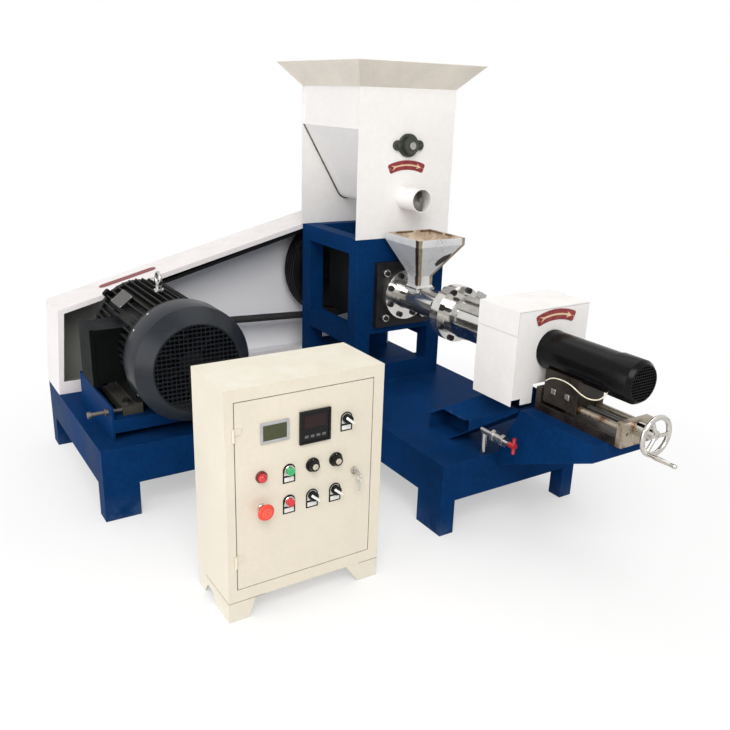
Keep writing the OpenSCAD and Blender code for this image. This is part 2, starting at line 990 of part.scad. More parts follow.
module motor_rail() {
  color("#12375a") {
    // Beams that carry the motor's feet, clear of the base below
    for (x = [rail_x0, rail_x1 - rail_beam_w]) {
      span([x, -rail_near + rail_plate_t, rail_z - rail_beam_h],
        [x + rail_beam_w, -rail_far - rail_plate_t, rail_z]);
    }
    // End plates, tall enough to hold the tension bolts
    difference() {
      for (y = [-rail_near, -rail_far - rail_plate_t]) {
        span([rail_x0, y, table_h], [rail_x1, y + rail_plate_t, rail_z + rail_plate_up]);
      }
      rod_y(-rail_near - over, -rail_far + over, tension_r, tension_x, rail_z + tension_up);
    }
  }
}

module tension_bolts() {
  foot_edge = foot_hole_off + foot_w / 2;
  z = rail_z + tension_up;
  color("#8c8f92") {
    rod_y(-rail_near - tension_out, motor_y - foot_edge, tension_r, tension_x, z);
    rod_y(motor_y + foot_edge, -rail_far + tension_out, tension_r, tension_x, z);
    for (y = [-rail_near - tension_out, -rail_near - tension_nut_t,
      -rail_far, -rail_far + tension_out - tension_nut_t]) {
      rod_y(y, y + tension_nut_t, tension_nut_r, tension_x, z, 6);
    }
  }
}

module motor_body() {
  color("#17181a") {
    difference() {
      union() {
        translate([0, motor_y, motor_z]) {
          rod_x(stator_x0 - over * 2, stator_x1 + over * 2, core_r);
          // Drive end shield and the shield under the cowl
          rod_x(stator_x0 - shield_t, stator_x0, shield_r);
          rod_x(stator_x0 - shield_t - shield_boss_t, stator_x0 - shield_t, shield_boss_r);
          rod_x(stator_x1, cowl_x0 + shield_t, cowl_r - cowl_t);
          // Fins, left out where the feet are, and short beside the terminal box
          for (i = [0 : fins - 1]) {
            a = (i + 0.5) * 360 / fins;
            x0 = abs(a - 180) > box_arc ? stator_x0 - over : box_x1 + box_lid_over + gap;
            if (abs(a - 230) > foot_arc && abs(a - 310) > foot_arc) {
              rotate([a, 0, 0]) span([x0, core_r - fin_t, -fin_t / 2], [stator_x1 + over, fin_r, fin_t / 2]);
            }
          }
        }
        // Feet with their webs
        for (s = [-1, 1]) {
          y = motor_y + s * foot_hole_off;
          span([foot_back, y - foot_w / 2, rail_z], [foot_front, y + foot_w / 2, rail_z + foot_h]);
          yw = motor_y + s * (foot_hole_off - foot_w / 2 + foot_web_t / 2);
          span([foot_back, yw - foot_web_t / 2, rail_z],
            [foot_front, yw + foot_web_t / 2, motor_z - web_down]);
        }
      }
      rod_x(stator_x0 - shield_t * 2, cowl_x0 + shield_t * 2, motor_shaft_r + fit, motor_y, motor_z);
    }
    // Foot bolts
    for (s = [-1, 1], x = [foot_bolt_x_front, foot_bolt_x_back]) {
      y = motor_y + s * (foot_hole_off + foot_web_t / 2);
      translate([x, y, rail_z + foot_h]) {
        rod_z(0, foot_bolt_head_h, foot_bolt_head_r, 0, 0, 6);
        rod_z(foot_bolt_head_h, foot_bolt_head_h * stud_share, foot_bolt_r);
      }
    }
  }
}

// A square mesh inside a rim, in (Y, Z)
module mesh_outline(r, pitch, bar, rim) {
  n = floor(r / pitch);
  difference() {
    circle(r = r);
    circle(r = r - rim);
  }
  for (i = [-n : n]) {
    half = sqrt(max(pow(r - rim / 2, 2) - pow(i * pitch, 2), 0));
    translate([i * pitch - bar / 2, -half]) square([bar, half * 2]);
    translate([-half, i * pitch - bar / 2]) square([half * 2, bar]);
  }
}

module motor_cowl() {
  color("#4c5867")
  translate([0, motor_y, motor_z]) {
    // Shell and its conical front, from one turned profile
    translate([cowl_x0, 0, 0]) rotate([0, 90, 0]) rotate_extrude() polygon([
      [cowl_r - cowl_t, 0], [cowl_r, 0], [cowl_r, cowl_l - cowl_cone_l], [grille_r + cowl_t, cowl_l],
      [grille_r - grille_bar, cowl_l], [grille_r - grille_bar, cowl_l - grille_t],
      [grille_r, cowl_l - grille_t], [cowl_r - cowl_t, cowl_l - cowl_cone_l - cowl_t]
    ]);
    along_x(motor_front - grille_t, motor_front) {
      mesh_outline(grille_r, grille_pitch, grille_bar, grille_bar * 2);
    }
  }
}

module motor_terminal_box() {
  y0 = motor_y - box_d;
  color("#1b1c1f")
  difference() {
    union() {
      span([box_x0, y0 + box_lid_t, box_z0], [box_x0 + box_l, motor_y, box_z0 + box_h]);
      span([box_x0 - box_lid_over, y0, box_z0 - box_lid_over],
        [box_x0 + box_l + box_lid_over, y0 + box_lid_t, box_z0 + box_h + box_lid_over]);
      rod_z(box_z0 - box_gland_l, box_z0, box_gland_r, box_x0 + box_l / 2, y0 + box_lid_t + box_gland_in);
    }
    rod_x(box_x0 - over, box_x1 + over, core_r + fit, motor_y, motor_z);
    // Room for the foot's web under the box
    span([box_x0 - over, motor_y - foot_hole_off + foot_w / 2 - foot_web_t, box_z0 - over],
      [box_x1 + over, motor_y, motor_z - web_down]);
  }
}

module motor_eye_bolt() {
  z0 = motor_z + fin_r;
  color("#b9bcc0")
  translate([eye_x, motor_y, 0]) {
    rod_z(z0, z0 + eye_pad_h, eye_pad_r);
    rod_z(z0 + eye_pad_h, z0 + eye_boss_h, eye_boss_r);
    translate([0, 0, z0 + eye_boss_h + eye_r]) rotate([90, 0, 0]) rotate_extrude() {
      translate([eye_r, 0]) circle(r = eye_wire_r, $fn = hull_fn);
    }
  }
}

module motor_rotor() {
  fan_x0 = cowl_x0 + shield_t + fan_gap;
  color("#8b8d90")
  translate([0, motor_y, motor_z]) {
    rod_x(pulley_x0 - shaft_end, fan_x0 + fan_t, motor_shaft_r);
    difference() {
      rod_x(fan_x0, fan_x0 + fan_t, fan_hub_r);
      rod_x(fan_x0 - over, fan_x0 + fan_t + over, motor_shaft_r);
    }
    round_x(fan_blades, 0) {
      span([fan_x0, fan_hub_r - fan_blade_t, -fan_blade_t / 2], [fan_x0 + fan_t, fan_r, fan_blade_t / 2]);
    }
  }
}

// The bin's cross-section in (Y, Z): upright walls, slopes and a round trough
module bin_section(inset) {
  yw = bin_w / 2 - bin_inset;
  r = trough_r - inset;
  knee = [yw, bin_z + knee_up - auger_z];
  n_a = atan2(knee[1], knee[0]) - acos(trough_r / norm(knee));
  y_in = yw - inset;
  z_in = (r - cos(n_a) * y_in) / sin(n_a);
  translate([0, auger_z]) {
    circle(r = r);
    polygon([
      [-y_in, bin_top - auger_z], [-y_in, z_in], (r - tangent_in) * [-cos(n_a), sin(n_a)],
      (r - tangent_in) * [cos(n_a), sin(n_a)], [y_in, z_in], [y_in, bin_top - auger_z]
    ]);
  }
}

module bin_body() {
  color("#f1f0ee")
  difference() {
    union() {
      along_x(-bin_d, 0) bin_section(0);
      for (x = [-bin_d, -bin_t]) span([x, -bin_w / 2, bin_z], [x + bin_t, bin_w / 2, bin_top]);
    }
    along_x(-bin_d + bin_t, -bin_t) bin_section(bin_t);
    translate([0, 0, bin_top - bin_t]) {
      span([-bin_d + bin_t, -bin_w / 2 + bin_inset + bin_t, 0],
        [-bin_t, bin_w / 2 - bin_inset - bin_t, bin_t + over]);
    }
    rod_x(-bin_t - over, over, tube_r, 0, auger_z);
    rod_x(-bin_d - over, -bin_d + bin_t + over, seat_r, 0, auger_z);
    rod_x(-bin_d - over, over, seat_r, 0, agitator_z);
  }
}

// A thin frame slab of the rim at one height
module rim_slab(out_x, out_y, inset, z) {
  hx = bin_d / 2 + out_x - inset;
  hy = bin_w / 2 + out_y - inset;
  translate([-bin_d / 2, 0, 0]) span([-hx, -hy, z], [hx, hy, z + bin_t / 2]);
}

module bin_rim() {
  top = bin_top + rim_h;
  color("#dedad4")
  difference() {
    hull() {
      rim_slab(0, 0, 0, bin_top);
      rim_slab(rim_out_x, rim_out_y, 0, top - bin_t / 2);
    }
    hull() {
      rim_slab(0, 0, bin_t * 2, bin_top - over);
      rim_slab(0, 0, bin_t * 2, bin_top);
      rim_slab(rim_out_x, rim_out_y, bin_t, top - bin_t / 2 + over);
    }
  }
}

module auger_tube() {
  color("#e9e8e6")
  ring_x(-bin_t, tube_out, tube_r, tube_r - tube_t, 0, auger_z);
}

module feed_auger() {
  x0 = -bin_d + bin_t * 2;
  color("#a5a7aa")
  translate([0, 0, auger_z]) {
    screw_form(x0, tube_out - x0, auger_r, auger_core_r, auger_flight_t, auger_turns);
    rod_x(-bin_d - gear_l - sprocket_gap - sprocket_t * 2, x0 + auger_lap, auger_core_r * shaft_share);
    rod_x(-bin_d - gear_l - sprocket_gap - sprocket_t, -bin_d - gear_l - sprocket_gap, sprocket_r);
  }
}

module agitator() {
  color("#98a0a0")
  translate([0, 0, agitator_z]) {
    rod_x(-bin_d - gear_l - sprocket_gap - sprocket_t * 2, agitator_out, agitator_r);
    rod_x(-bin_d - gear_l - sprocket_gap - sprocket_t, -bin_d - gear_l - sprocket_gap, big_sprocket_r);
    for (i = [0 : paddles - 1]) {
      x = -bin_d + (i + 0.5) * bin_d / paddles;
      rotate([i * 90, 0, 0]) rod_y(0, paddle_l, paddle_r, x);
    }
  }
}

module flange_bearing() {
  module body(x0, dir) {
    difference() {
      union() {
        rod_x(min(x0, x0 + dir * flb_base_t), max(x0, x0 + dir * flb_base_t), flb_r, 0, agitator_z);
        for (s = [-1, 1]) {
          rod_x(min(x0, x0 + dir * flb_base_t), max(x0, x0 + dir * flb_base_t),
            flb_ear_r, s * flb_ear_off, agitator_z);
        }
        span([min(x0, x0 + dir * flb_base_t), -flb_ear_off, agitator_z - flb_ear_r],
          [max(x0, x0 + dir * flb_base_t), flb_ear_off, agitator_z + flb_ear_r]);
        rod_x(min(x0, x0 + dir * flb_out), max(x0, x0 + dir * flb_out), flb_boss_r, 0, agitator_z);
      }
      rod_x(min(x0, x0 + dir * flb_out) - over, max(x0, x0 + dir * flb_out) + over,
        agitator_r + fit, 0, agitator_z);
    }
    for (s = [-1, 1]) {
      rod_x(min(x0 + dir * flb_base_t, x0 + dir * (flb_base_t + flb_bolt_h)),
        max(x0 + dir * flb_base_t, x0 + dir * (flb_base_t + flb_bolt_h)),
        flb_bolt_r, s * flb_ear_off, agitator_z, 6);
    }
  }
  color("#4a5652") {
    body(0, 1);
    body(-bin_d, -1);
  }
}

module feed_gearmotor() {
  x1 = -bin_d;
  x0 = x1 - gear_l;
  mid = (x0 + x1) / 2;
  color("#3f5560") {
    difference() {
      span([x0, -gear_w / 2, auger_z - gear_h / 2], [x1, gear_w / 2, auger_z + gear_h / 2]);
      rod_x(x0 - over, x1 + over, auger_core_r + fit, 0, auger_z);
    }
    rod_y(gear_w / 2, gear_w / 2 + gear_motor_l, gear_motor_r, mid, auger_z);
    rod_y(gear_w / 2 + gear_motor_l, gear_w / 2 + gear_motor_l + gear_cap_t,
      gear_motor_r - gear_cap_t, mid, auger_z);
  }
}

module feed_chain() {
  x1 = -bin_d - gear_l - sprocket_gap - sprocket_t / 2 + chain_w / 2;
  color("#2f3032")
  band_loop(x1 - chain_w, x1, [0, agitator_z], big_sprocket_r + gap,
    [0, auger_z], sprocket_r + gap, chain_t);
}

module inlet_hopper() {
  x1 = hop_l;
  hy = hop_w / 2;
  z0 = axis_z;
  nx0 = inlet_x - neck_s / 2;
  nx1 = inlet_x + neck_s / 2;
  ny = neck_s / 2;
  band_z = hop_top - hop_band;
  color("#cfd0cf")
  difference() {
    union() {
      span([0, -hy, band_z], [x1, hy, hop_top]);
      hull() {
        span([0, -hy, band_z - hop_t], [x1, hy, band_z]);
        span([nx0, -ny, neck_top - hop_t], [nx1, ny, neck_top]);
      }
      span([nx0, -ny, z0], [nx1, ny, neck_top]);
    }
    span([hop_t, -hy + hop_t, band_z - hop_t / 2], [x1 - hop_t, hy - hop_t, hop_top + over]);
    hull() {
      span([hop_t, -hy + hop_t, band_z - hop_t], [x1 - hop_t, hy - hop_t, band_z]);
      span([nx0 + hop_t, -ny + hop_t, neck_top - hop_t], [nx1 - hop_t, ny - hop_t, neck_top]);
    }
    span([nx0 + hop_t, -ny + hop_t, z0 - over], [nx1 - hop_t, ny - hop_t, neck_top - hop_t / 2]);
    rod_x(nx0 - over, nx1 + over, feed_r, 0, axis_z);
  }
}

module discharge_chute() {
  module run(inset, up, down) {
    hull() {
      span([chute_x0 + inset, -chute_y + inset, chute_top - chute_slab],
        [chute_x1 - inset, chute_y - inset, chute_top + up]);
      span([chute_lip_x0 + inset, -chute_lip_near + inset - down, table_h + inset / 2],
        [chute_lip_x1 - inset, -chute_lip_far - inset, table_h + chute_lip_h - inset]);
    }
  }
  color("#14406f")
  difference() {
    run(0, 0, 0);
    run(chute_t, over, chute_t * 2);
  }
}

module drain_valve() {
  color("#9b9488") {
    translate([0, -drain_y, drain_z]) {
      rod_x(drain_x0, valve_x0, drain_r);
      rod_x(valve_x0, valve_x1, valve_r);
      for (x = [valve_x0, valve_x1 - valve_hex_l]) rod_x(x, x + valve_hex_l, valve_hex_r, 0, 0, 6);
      rod_x(valve_x1, stem_x1, stem_r);
    }
    rod_z(table_h, drain_z, drain_r, drain_x0 + drain_r, -drain_y);
  }
}

module valve_handle() {
  color("#a8292b")
  translate([0, -drain_y, drain_z]) difference() {
    union() {
      rod_x(handle_x0, handle_x1, handle_hub_r);
      rod_z(-handle_bar_l / 2, handle_bar_l / 2, handle_bar_r, handle_x1 - handle_bar_r);
    }
    rod_x(handle_x0 - over, stem_x1 + gap, stem_r + fit);
  }
}

module slide_base() {
  hy = slide_w / 2;
  color("#6a6660") {
    span([slide_x0, -hy, slide_z], [slide_x1, hy, slide_z + slide_floor_t]);
    for (s = [0, 1]) mirror([0, s, 0]) {
      span([slide_x0, -hy, slide_z + slide_floor_t],
        [slide_x1 - end_block_t, -hy + slide_wall_t, slide_z + slide_wall_h]);
      rod_x(slide_x0 + end_block_t, slide_x1 - end_block_t, way_r, way_y, screw_z);
    }
    // End blocks carry the ways and the lead screw
    difference() {
      for (x = [slide_x0, slide_x1 - end_block_t]) {
        span([x, -hy, slide_z + slide_floor_t], [x + end_block_t, hy, slide_z + slide_floor_t + end_block_h]);
      }
      rod_x(slide_x0 - over, slide_x1 + over, lead_r + fit, 0, screw_z);
      rod_x(slide_x1 - end_block_t / 2, slide_x1 + over, end_hole_r, -way_y, screw_z - end_hole_z);
    }
  }
}

module lead_screw() {
  color("#9c9ea1")
  rod_x(slide_x0, slide_x1 + gap, lead_r, 0, screw_z);
}

module handwheel() {
  color("#c9ccd0")
  translate([wheel_x, 0, screw_z]) {
    // Hub, collar and the dished wheel
    rod_x(-wheel_hub_l / 2, wheel_dish, wheel_hub_r);
    rod_x(slide_x1 + gap - wheel_x, slide_x1 + gap + collar_l - wheel_x, collar_r);
    translate([wheel_dish, 0, 0]) rotate([0, 90, 0]) rotate_extrude() {
      translate([wheel_r - wheel_rim_r, 0]) circle(r = wheel_rim_r, $fn = hull_fn);
    }
    for (i = [0 : spokes - 1]) {
      rotate([grip_angle + i * 360 / spokes, 0, 0]) {
        rod_y(wheel_hub_r / 2, wheel_r - wheel_rim_r, spoke_r, wheel_dish);
      }
    }
    rotate([grip_angle, 0, 0]) {
      rod_x(wheel_dish, wheel_dish + wheel_rim_r + grip_l / 2, grip_pin_r, wheel_r - wheel_rim_r);
    }
  }
}

module crank_handle() {
  color("#d4d6d9")
  translate([wheel_x, 0, screw_z]) rotate([grip_angle, 0, 0])
  translate([wheel_dish + wheel_rim_r, wheel_r - wheel_rim_r, 0]) {
    difference() {
      rotate([0, 90, 0]) rotate_extrude() polygon(concat(
        [[0, gap], [grip_r * grip_foot_share, gap]],
        [for (p = grip_shares) [grip_r * p[1], grip_l * p[0]]], [[0, grip_l]]
      ));
      rod_x(-over, grip_l / 2 + gap, grip_pin_r + fit);
    }
  }
}

module slide_saddle() {
  x1 = saddle_x0 + saddle_l;
  hy = saddle_w / 2;
  color("#1d1e21") {
    difference() {
      span([saddle_x0, -hy, saddle_low], [x1, hy, saddle_top]);
      rod_x(saddle_x0 - over, x1 + over, cutter_r, 0, axis_z);
      rod_x(saddle_x0 - over, x1 + over, lead_r + gap, 0, screw_z);
      for (y = [-way_y, way_y]) rod_x(saddle_x0 - over, x1 + over, way_r + fit, y, screw_z);
    }
    for (x = [saddle_x0 + saddle_l / 3, x1 - saddle_l / 4]) {
      rod_y(-hy - nut_t, -hy, nut_r, x, saddle_low + saddle_l / 3, 6);
    }
  }
}

module cutter_motor() {
  color("#141517")
  difference() {
    union() {
      rod_x(cutter_x0, cutter_x0 + cutter_flange_t, cutter_flange_r, 0, axis_z);
      rod_x(cutter_x0 + cutter_flange_t, ccowl_x0 + cutter_flange_t, cutter_r, 0, axis_z);
    }
    rod_x(cutter_x0 - over, ccowl_x0 + cutter_flange_t + over, cutter_shaft_r + fit, 0, axis_z);
  }
}

module cutter_cowl() {
  color("#1a1b1e")
  translate([0, 0, axis_z]) {
    ring_x(ccowl_x0, cutter_x1 - cg_bar, ccowl_r, cutter_r + gap);
    along_x(cutter_x1 - cg_bar, cutter_x1) mesh_outline(ccowl_r, cg_pitch, cg_bar, cg_rim);
  }
}

// A tube swept along points, each ring square to the route there
function unit(v) = v / norm(v);
function heading(p, i) = unit(p[min(i + 1, len(p) - 1)] - p[max(i - 1, 0)]);
function ring_at(p, i, r, n) =
  let (t = heading(p, i), u = unit(cross(t, [0.2, 0.3, 1])), v = cross(u, t))
  [for (k = [0 : n - 1]) p[i] + r * (cos(360 * k / n) * u + sin(360 * k / n) * v)];

module tube_along(p, r, n) {
  m = len(p);
  polyhedron(
    points = [for (i = [0 : m - 1]) each ring_at(p, i, r, n)],
    faces = concat(
      [[for (k = [0 : n - 1]) k]],
      [for (i = [0 : m - 2], k = [0 : n - 1])
        [i * n + k, (i + 1) * n + k, (i + 1) * n + (k + 1) % n, i * n + (k + 1) % n]],
      [[for (k = [n - 1 : -1 : 0]) (m - 1) * n + k]]
    )
  );
}

module cutter_wire() {
  color("#d8c48a")
  tube_along(wire_pts, wire_r, wire_sides);
}

module cutter_cover() {
  seam = cover_z1 - lid_skirt;
  color("#ebebec")
  difference() {
    span([cover_x0, -cover_y, cover_z0], [cover_x1, cover_y, cover_z1 - cover_t - lid_gap]);
    span([cover_x0 + cover_t, -cover_y + cover_t, cover_z0 - over],
      [cover_x1 - cover_t, cover_y - cover_t, cover_z1]);
    // The near wall stops where the lid's skirt comes down
    span([cover_x0 - over, -cover_y - over, seam - lid_gap],
      [cover_x1 + over, -cover_y + cover_t + lid_gap, cover_z1]);
    // Way in for the barrel, open below
    rod_x(cover_x0 - over, cover_x0 + cover_t + over, barrel_hole_r, 0, axis_z);
    span([cover_x0 - over, -barrel_hole_r, cover_z0 - over],
      [cover_x0 + cover_t + over, barrel_hole_r, axis_z]);
    // Notch at the front corner, and the hole for the knife shaft
    span([cover_x1 - cover_t - over, -cover_y - over, cover_z0 - over],
      [cover_x1 + over, -cover_y + notch_w, cover_z0 + notch_h]);
    rod_x(cover_x1 - cover_t - over, cover_x1 + over, cutter_shaft_r + gap * 3, 0, axis_z);
    // Slot that lets the front wall pass over the slide
    span([cover_x1 - cover_t - over, -slide_w / 2 - slide_gap, cover_z0 - over],
      [cover_x1 + over, slide_w / 2 + slide_gap, slide_z + slide_floor_t + end_block_h + slide_gap]);
  }
  color("#ebebec")
  for (x = [cover_x0 + hinge_inset, cover_x1 - hinge_inset - hinge_l]) {
    rod_x(x, x + hinge_l / 2 - gap, hinge_r, cover_y + hinge_r, cover_z1 - hinge_r);
    rod_x(x, x + hinge_l, hinge_pin_r, cover_y + hinge_r, cover_z1 - hinge_r);
    span([x, cover_y, cover_z1 - hinge_r * 3],
      [x + hinge_l / 2 - gap, cover_y + cover_t, cover_z1 - hinge_r]);
  }
}

module cutter_lid() {
  color("#f3f3f4") {
    span([cover_x0, -cover_y, cover_z1 - cover_t], [cover_x1, cover_y, cover_z1]);
    span([cover_x0, -cover_y, cover_z1 - lid_skirt], [cover_x1, -cover_y + cover_t, cover_z1 - cover_t]);
    for (x = [cover_x0 + hinge_inset, cover_x1 - hinge_inset - hinge_l]) {
      difference() {
        union() {
          rod_x(x + hinge_l / 2, x + hinge_l, hinge_r, cover_y + hinge_r, cover_z1 - hinge_r);
          span([x + hinge_l / 2, cover_y - hinge_r, cover_z1 - cover_t],
            [x + hinge_l, cover_y + hinge_r, cover_z1]);
        }
        rod_x(x - over, x + hinge_l + over, hinge_pin_r + fit, cover_y + hinge_r, cover_z1 - hinge_r);
      }
    }
  }
}

module cutter_rotor() {
  x0 = die_x1 + knife_gap;
  fan_x0 = ccowl_x0 + cutter_flange_t + cfan_gap;
  color("#a7a9ac")
  translate([0, 0, axis_z]) {
    rod_x(x0 + knife_t, fan_x0 + cfan_t, cutter_shaft_r);
    rod_x(x0 + knife_t, x0 + knife_t + knife_hub_l, knife_hub_r);
    round_x(blades, 0) {
      span([x0, -knife_w / 2, -knife_w / 2], [x0 + knife_t, knife_r, knife_w / 2]);
    }
    round_x(cfan_blades, 0) {
      span([fan_x0, 0, -cfan_blade_t / 2], [fan_x0 + cfan_t, cfan_r, cfan_blade_t / 2]);
    }
  }
}

module cabinet_body() {
  inner_x0 = cab_x0 + cab_t;
  mid_y = (cab_y0 + cab_y1) / 2;
  color("#e6dfd0") {
    difference() {
      span([cab_x0, cab_y0, cab_z0], [cab_x1, cab_y1, cab_z1]);
      span([inner_x0, cab_y0 + cab_t, cab_z0 + cab_t], [cab_x1 - cab_t, cab_y1 - cab_t, cab_z1 - cab_t]);
      span([cab_x1 - cab_t - over, door_y0 - door_gap, door_z0 - door_gap],
        [cab_x1 + over, door_y1 + door_gap, door_z1 + door_gap]);
    }
    // Mounting plate inside, on its studs
    for (y = [cab_y0 + cab_plate_inset * 1.5, cab_y1 - cab_plate_inset * 1.5],
      z = [cab_z0 + cab_plate_inset * 1.5, cab_z1 - cab_plate_inset * 1.5]) {
      rod_x(inner_x0, inner_x0 + cab_plate_off, pin_r, y, z);
    }
    span([inner_x0 + cab_plate_off, cab_y0 + cab_plate_inset, cab_z0 + cab_plate_inset],
      [inner_x0 + cab_plate_off + cab_plate_t, cab_y1 - cab_plate_inset, cab_z1 - cab_plate_inset]);
    // Cable glands in the floor, at the back
    for (i = [-1, 0, 1]) {
      rod_z(cab_z0 - cab_gland_l, cab_z0, cab_gland_r, cab_x0 + cab_gland_side, mid_y + i * cab_gland_side);
    }
    for (z = [door_z0 + khinge_inset, door_z1 - khinge_inset - khinge_l * 2]) {
      rod_z(z, z + khinge_l - gap, khinge_r, cab_x1 + khinge_r, door_y0 - khinge_off);
      rod_z(z, z + khinge_l * 2, khinge_pin_r, cab_x1 + khinge_r, door_y0 - khinge_off);
    }
  }
}

module cabinet_feet() {
  module plate(x, y, dir, low, high) {
    along_x(x, x + foot_sheet) polygon([
      [y, 0], [y, cab_foot_h], [y + dir * high, cab_foot_h], [y + dir * low, 0]
    ]);
  }
  color("#e1dacb")
  for (e = [[cab_y0, 1, near_foot_low, near_foot_high], [cab_y1, -1, cab_foot_low, cab_foot_high]]) {
    plate(cab_x0, e[0], e[1], e[2], e[3]);
    plate(cab_x1 - foot_sheet, e[0], e[1], e[2], e[3]);
    // Side sheet with a notch between its feet
    along_y(min(e[0], e[0] + e[1] * foot_sheet), max(e[0], e[0] + e[1] * foot_sheet)) polygon([
      [cab_x0 + foot_sheet, 0], [cab_x0 + side_notch_low[0], 0], [cab_x0 + side_notch_high[0], side_notch_h],
      [cab_x0 + side_notch_high[1], side_notch_h], [cab_x0 + side_notch_low[1], 0],
      [cab_x1 - foot_sheet, 0], [cab_x1 - foot_sheet, cab_foot_h], [cab_x0 + foot_sheet, cab_foot_h]
    ]);
  }
}

module cabinet_door() {
  back = cab_x1 - door_pan;
  color("#e6dfd0") {
    difference() {
      span([back, door_y0, door_z0], [cab_x1, door_y1, door_z1]);
      span([back - over, door_y0 + door_skin, door_z0 + door_skin],
        [cab_x1 - door_skin, door_y1 - door_skin, door_z1 - door_skin]);
      rod_x(cab_x1 - door_skin - over, cab_x1 + over, lock_r - pin_r + fit, lock_y, lock_z);
    }
    for (z = [door_z0 + khinge_inset, door_z1 - khinge_inset - khinge_l * 2]) {
      difference() {
        union() {
          rod_z(z + khinge_l, z + khinge_l * 2, khinge_r, cab_x1 + khinge_r, door_y0 - khinge_off);
          span([cab_x1, door_y0 - khinge_off, z + khinge_l],
            [cab_x1 + cab_t, door_y0 + khinge_l, z + khinge_l * 2]);
        }
        rod_z(z - over, z + khinge_l * 2 + over, khinge_pin_r + fit, cab_x1 + khinge_r, door_y0 - khinge_off);
      }
    }
  }
}

// A bezel with a moving device in it
module bezel(y, z, r) {
  ring_x(cab_x1, cab_x1 + bezel_h, r + cap_lift, r + gap, y, z);
}

// Blank plate under a device: round above and square below, with the device's hole
module legend(y, z, hole) {
  r = legend_w / 2;
  along_x(cab_x1, cab_x1 + legend_t) translate([y, z]) difference() {
    polygon(concat(
      [for (a = [0 : legend_step : 180]) r * [cos(a), sin(a)]],
      [[-r, r - legend_h], [r, r - legend_h]]
    ));
    circle(r = hole);
  }
}

module door_instruments() {
  color("#2a2c30") {
    span([cab_x1, lcd_y0, lcd_z0], [cab_x1 + lcd_t, lcd_y0 + lcd_w, lcd_z0 + lcd_h]);
    difference() {
      span([cab_x1, ctl_y0, ctl_z0], [cab_x1 + ctl_t, ctl_y0 + ctl_s, ctl_z0 + ctl_s]);
      span([cab_x1 + ctl_t / 2, ctl_y0 + ctl_face_inset, ctl_z0 + ctl_face_inset],
        [cab_x1 + ctl_t + over, ctl_y0 + ctl_s - ctl_face_inset, ctl_z0 + ctl_s - ctl_face_inset]);
    }
    // Pilot lamp
    rod_x(cab_x1, cab_x1 + bezel_h, lamp_r, col_1, row_1);
    rod_x(cab_x1 + bezel_h, cab_x1 + lamp_h, lamp_r - cap_lift, col_1, row_1);
    // Bezels of the buttons and the mushroom head
    for (p = [[col_2, row_1], [col_2, row_2]]) bezel(p[0], p[1], cap_r);
    bezel(col_1, row_2, mushroom_neck_r);
    // Pins that the turned devices sit on, and the legend plates
    for (p = [[col_3, row_1], [col_4, row_1], [col_3, row_2], [col_4, row_2], [upper_y, upper_z]]) {
      rod_x(cab_x1, cab_x1 + pin_l, pin_r, p[0], p[1]);
    }
    for (p = [[col_3, row_2], [col_4, row_2], [upper_y, upper_z]]) legend(p[0], p[1], pin_r);
    for (z = [row_1, row_2]) legend(col_2, z, cap_r + cap_lift);
  }
}

module press_cap(y, z) {
  rod_x(cab_x1 + cap_lift, cab_x1 + cap_lift + cap_h, cap_r, y, z);
}

module start_button() {
  color("#1f9a5a") press_cap(col_2, row_1);
}

module stop_button() {
  color("#c93438") press_cap(col_2, row_2);
}

module emergency_stop() {
  x1 = cab_x1 + bezel_h + mushroom_lift;
  color("#cf2f38")
  translate([0, col_1, row_2]) {
    rod_x(cab_x1 + mushroom_travel + gap, x1, mushroom_neck_r);
    translate([x1, 0, 0]) rotate([0, 90, 0]) rotate_extrude() polygon(concat(
      [[0, 0]], [for (p = mushroom_shares) [mushroom_r * p[1], mushroom_h * p[0]]], [[0, mushroom_h]]
    ));
  }
}

// A knob on its pin, with a pointer bar for a selector
module turned_knob(y, z) {
  translate([cab_x1 + gap, y, z]) difference() {
    union() {
      rod_x(0, knob_skirt_h, knob_skirt_r);
      rod_x(knob_skirt_h, knob_h, knob_r);
      rod_x(knob_h, knob_h + knob_cap_h, knob_cap_r);
      span([knob_skirt_h, -mark_w / 2, knob_cap_r + over], [knob_h + mark_w / 2, mark_w / 2, knob_r]);
    }
    rod_x(-over, pin_l, pin_r + fit);
  }
}

module selector(y, z) {
  translate([cab_x1 + legend_t + gap, y, z]) difference() {
    union() {
      rod_x(0, sel_h, sel_r);
      span([sel_h, -sel_bar_w / 2, -sel_r], [sel_h + sel_bar_h, sel_bar_w / 2, sel_r]);
    }
    rod_x(-over, pin_l - legend_t, pin_r + fit);
  }
}

module knob_left() {
  color("#1c1d20") turned_knob(col_3, row_1);
}

module knob_right() {
  color("#1c1d20") turned_knob(col_4, row_1);
}

module selector_left() {
  color("#1c1d20") selector(col_3, row_2);
}

module selector_right() {
  color("#1c1d20") selector(col_4, row_2);
}

module selector_upper() {
  color("#1c1d20") selector(upper_y, upper_z);
}

module door_lock() {
  back = cab_x1 - door_pan;
  color("#b8bbc0")
  translate([0, lock_y, lock_z]) {
    rod_x(back, cab_x1 + gap, lock_r - pin_r);
    rod_x(cab_x1 + gap, cab_x1 + lock_h, lock_r);
    span([cab_x1 + lock_h, -key_t / 2, -key_w / 2], [cab_x1 + lock_h + key_l, key_t / 2, key_w / 2]);
    // Cam behind the door that holds it shut
    span([back - pin_r, -pin_r, -pin_r * 2], [back, lock_r * 4, pin_r * 2]);
  }
}

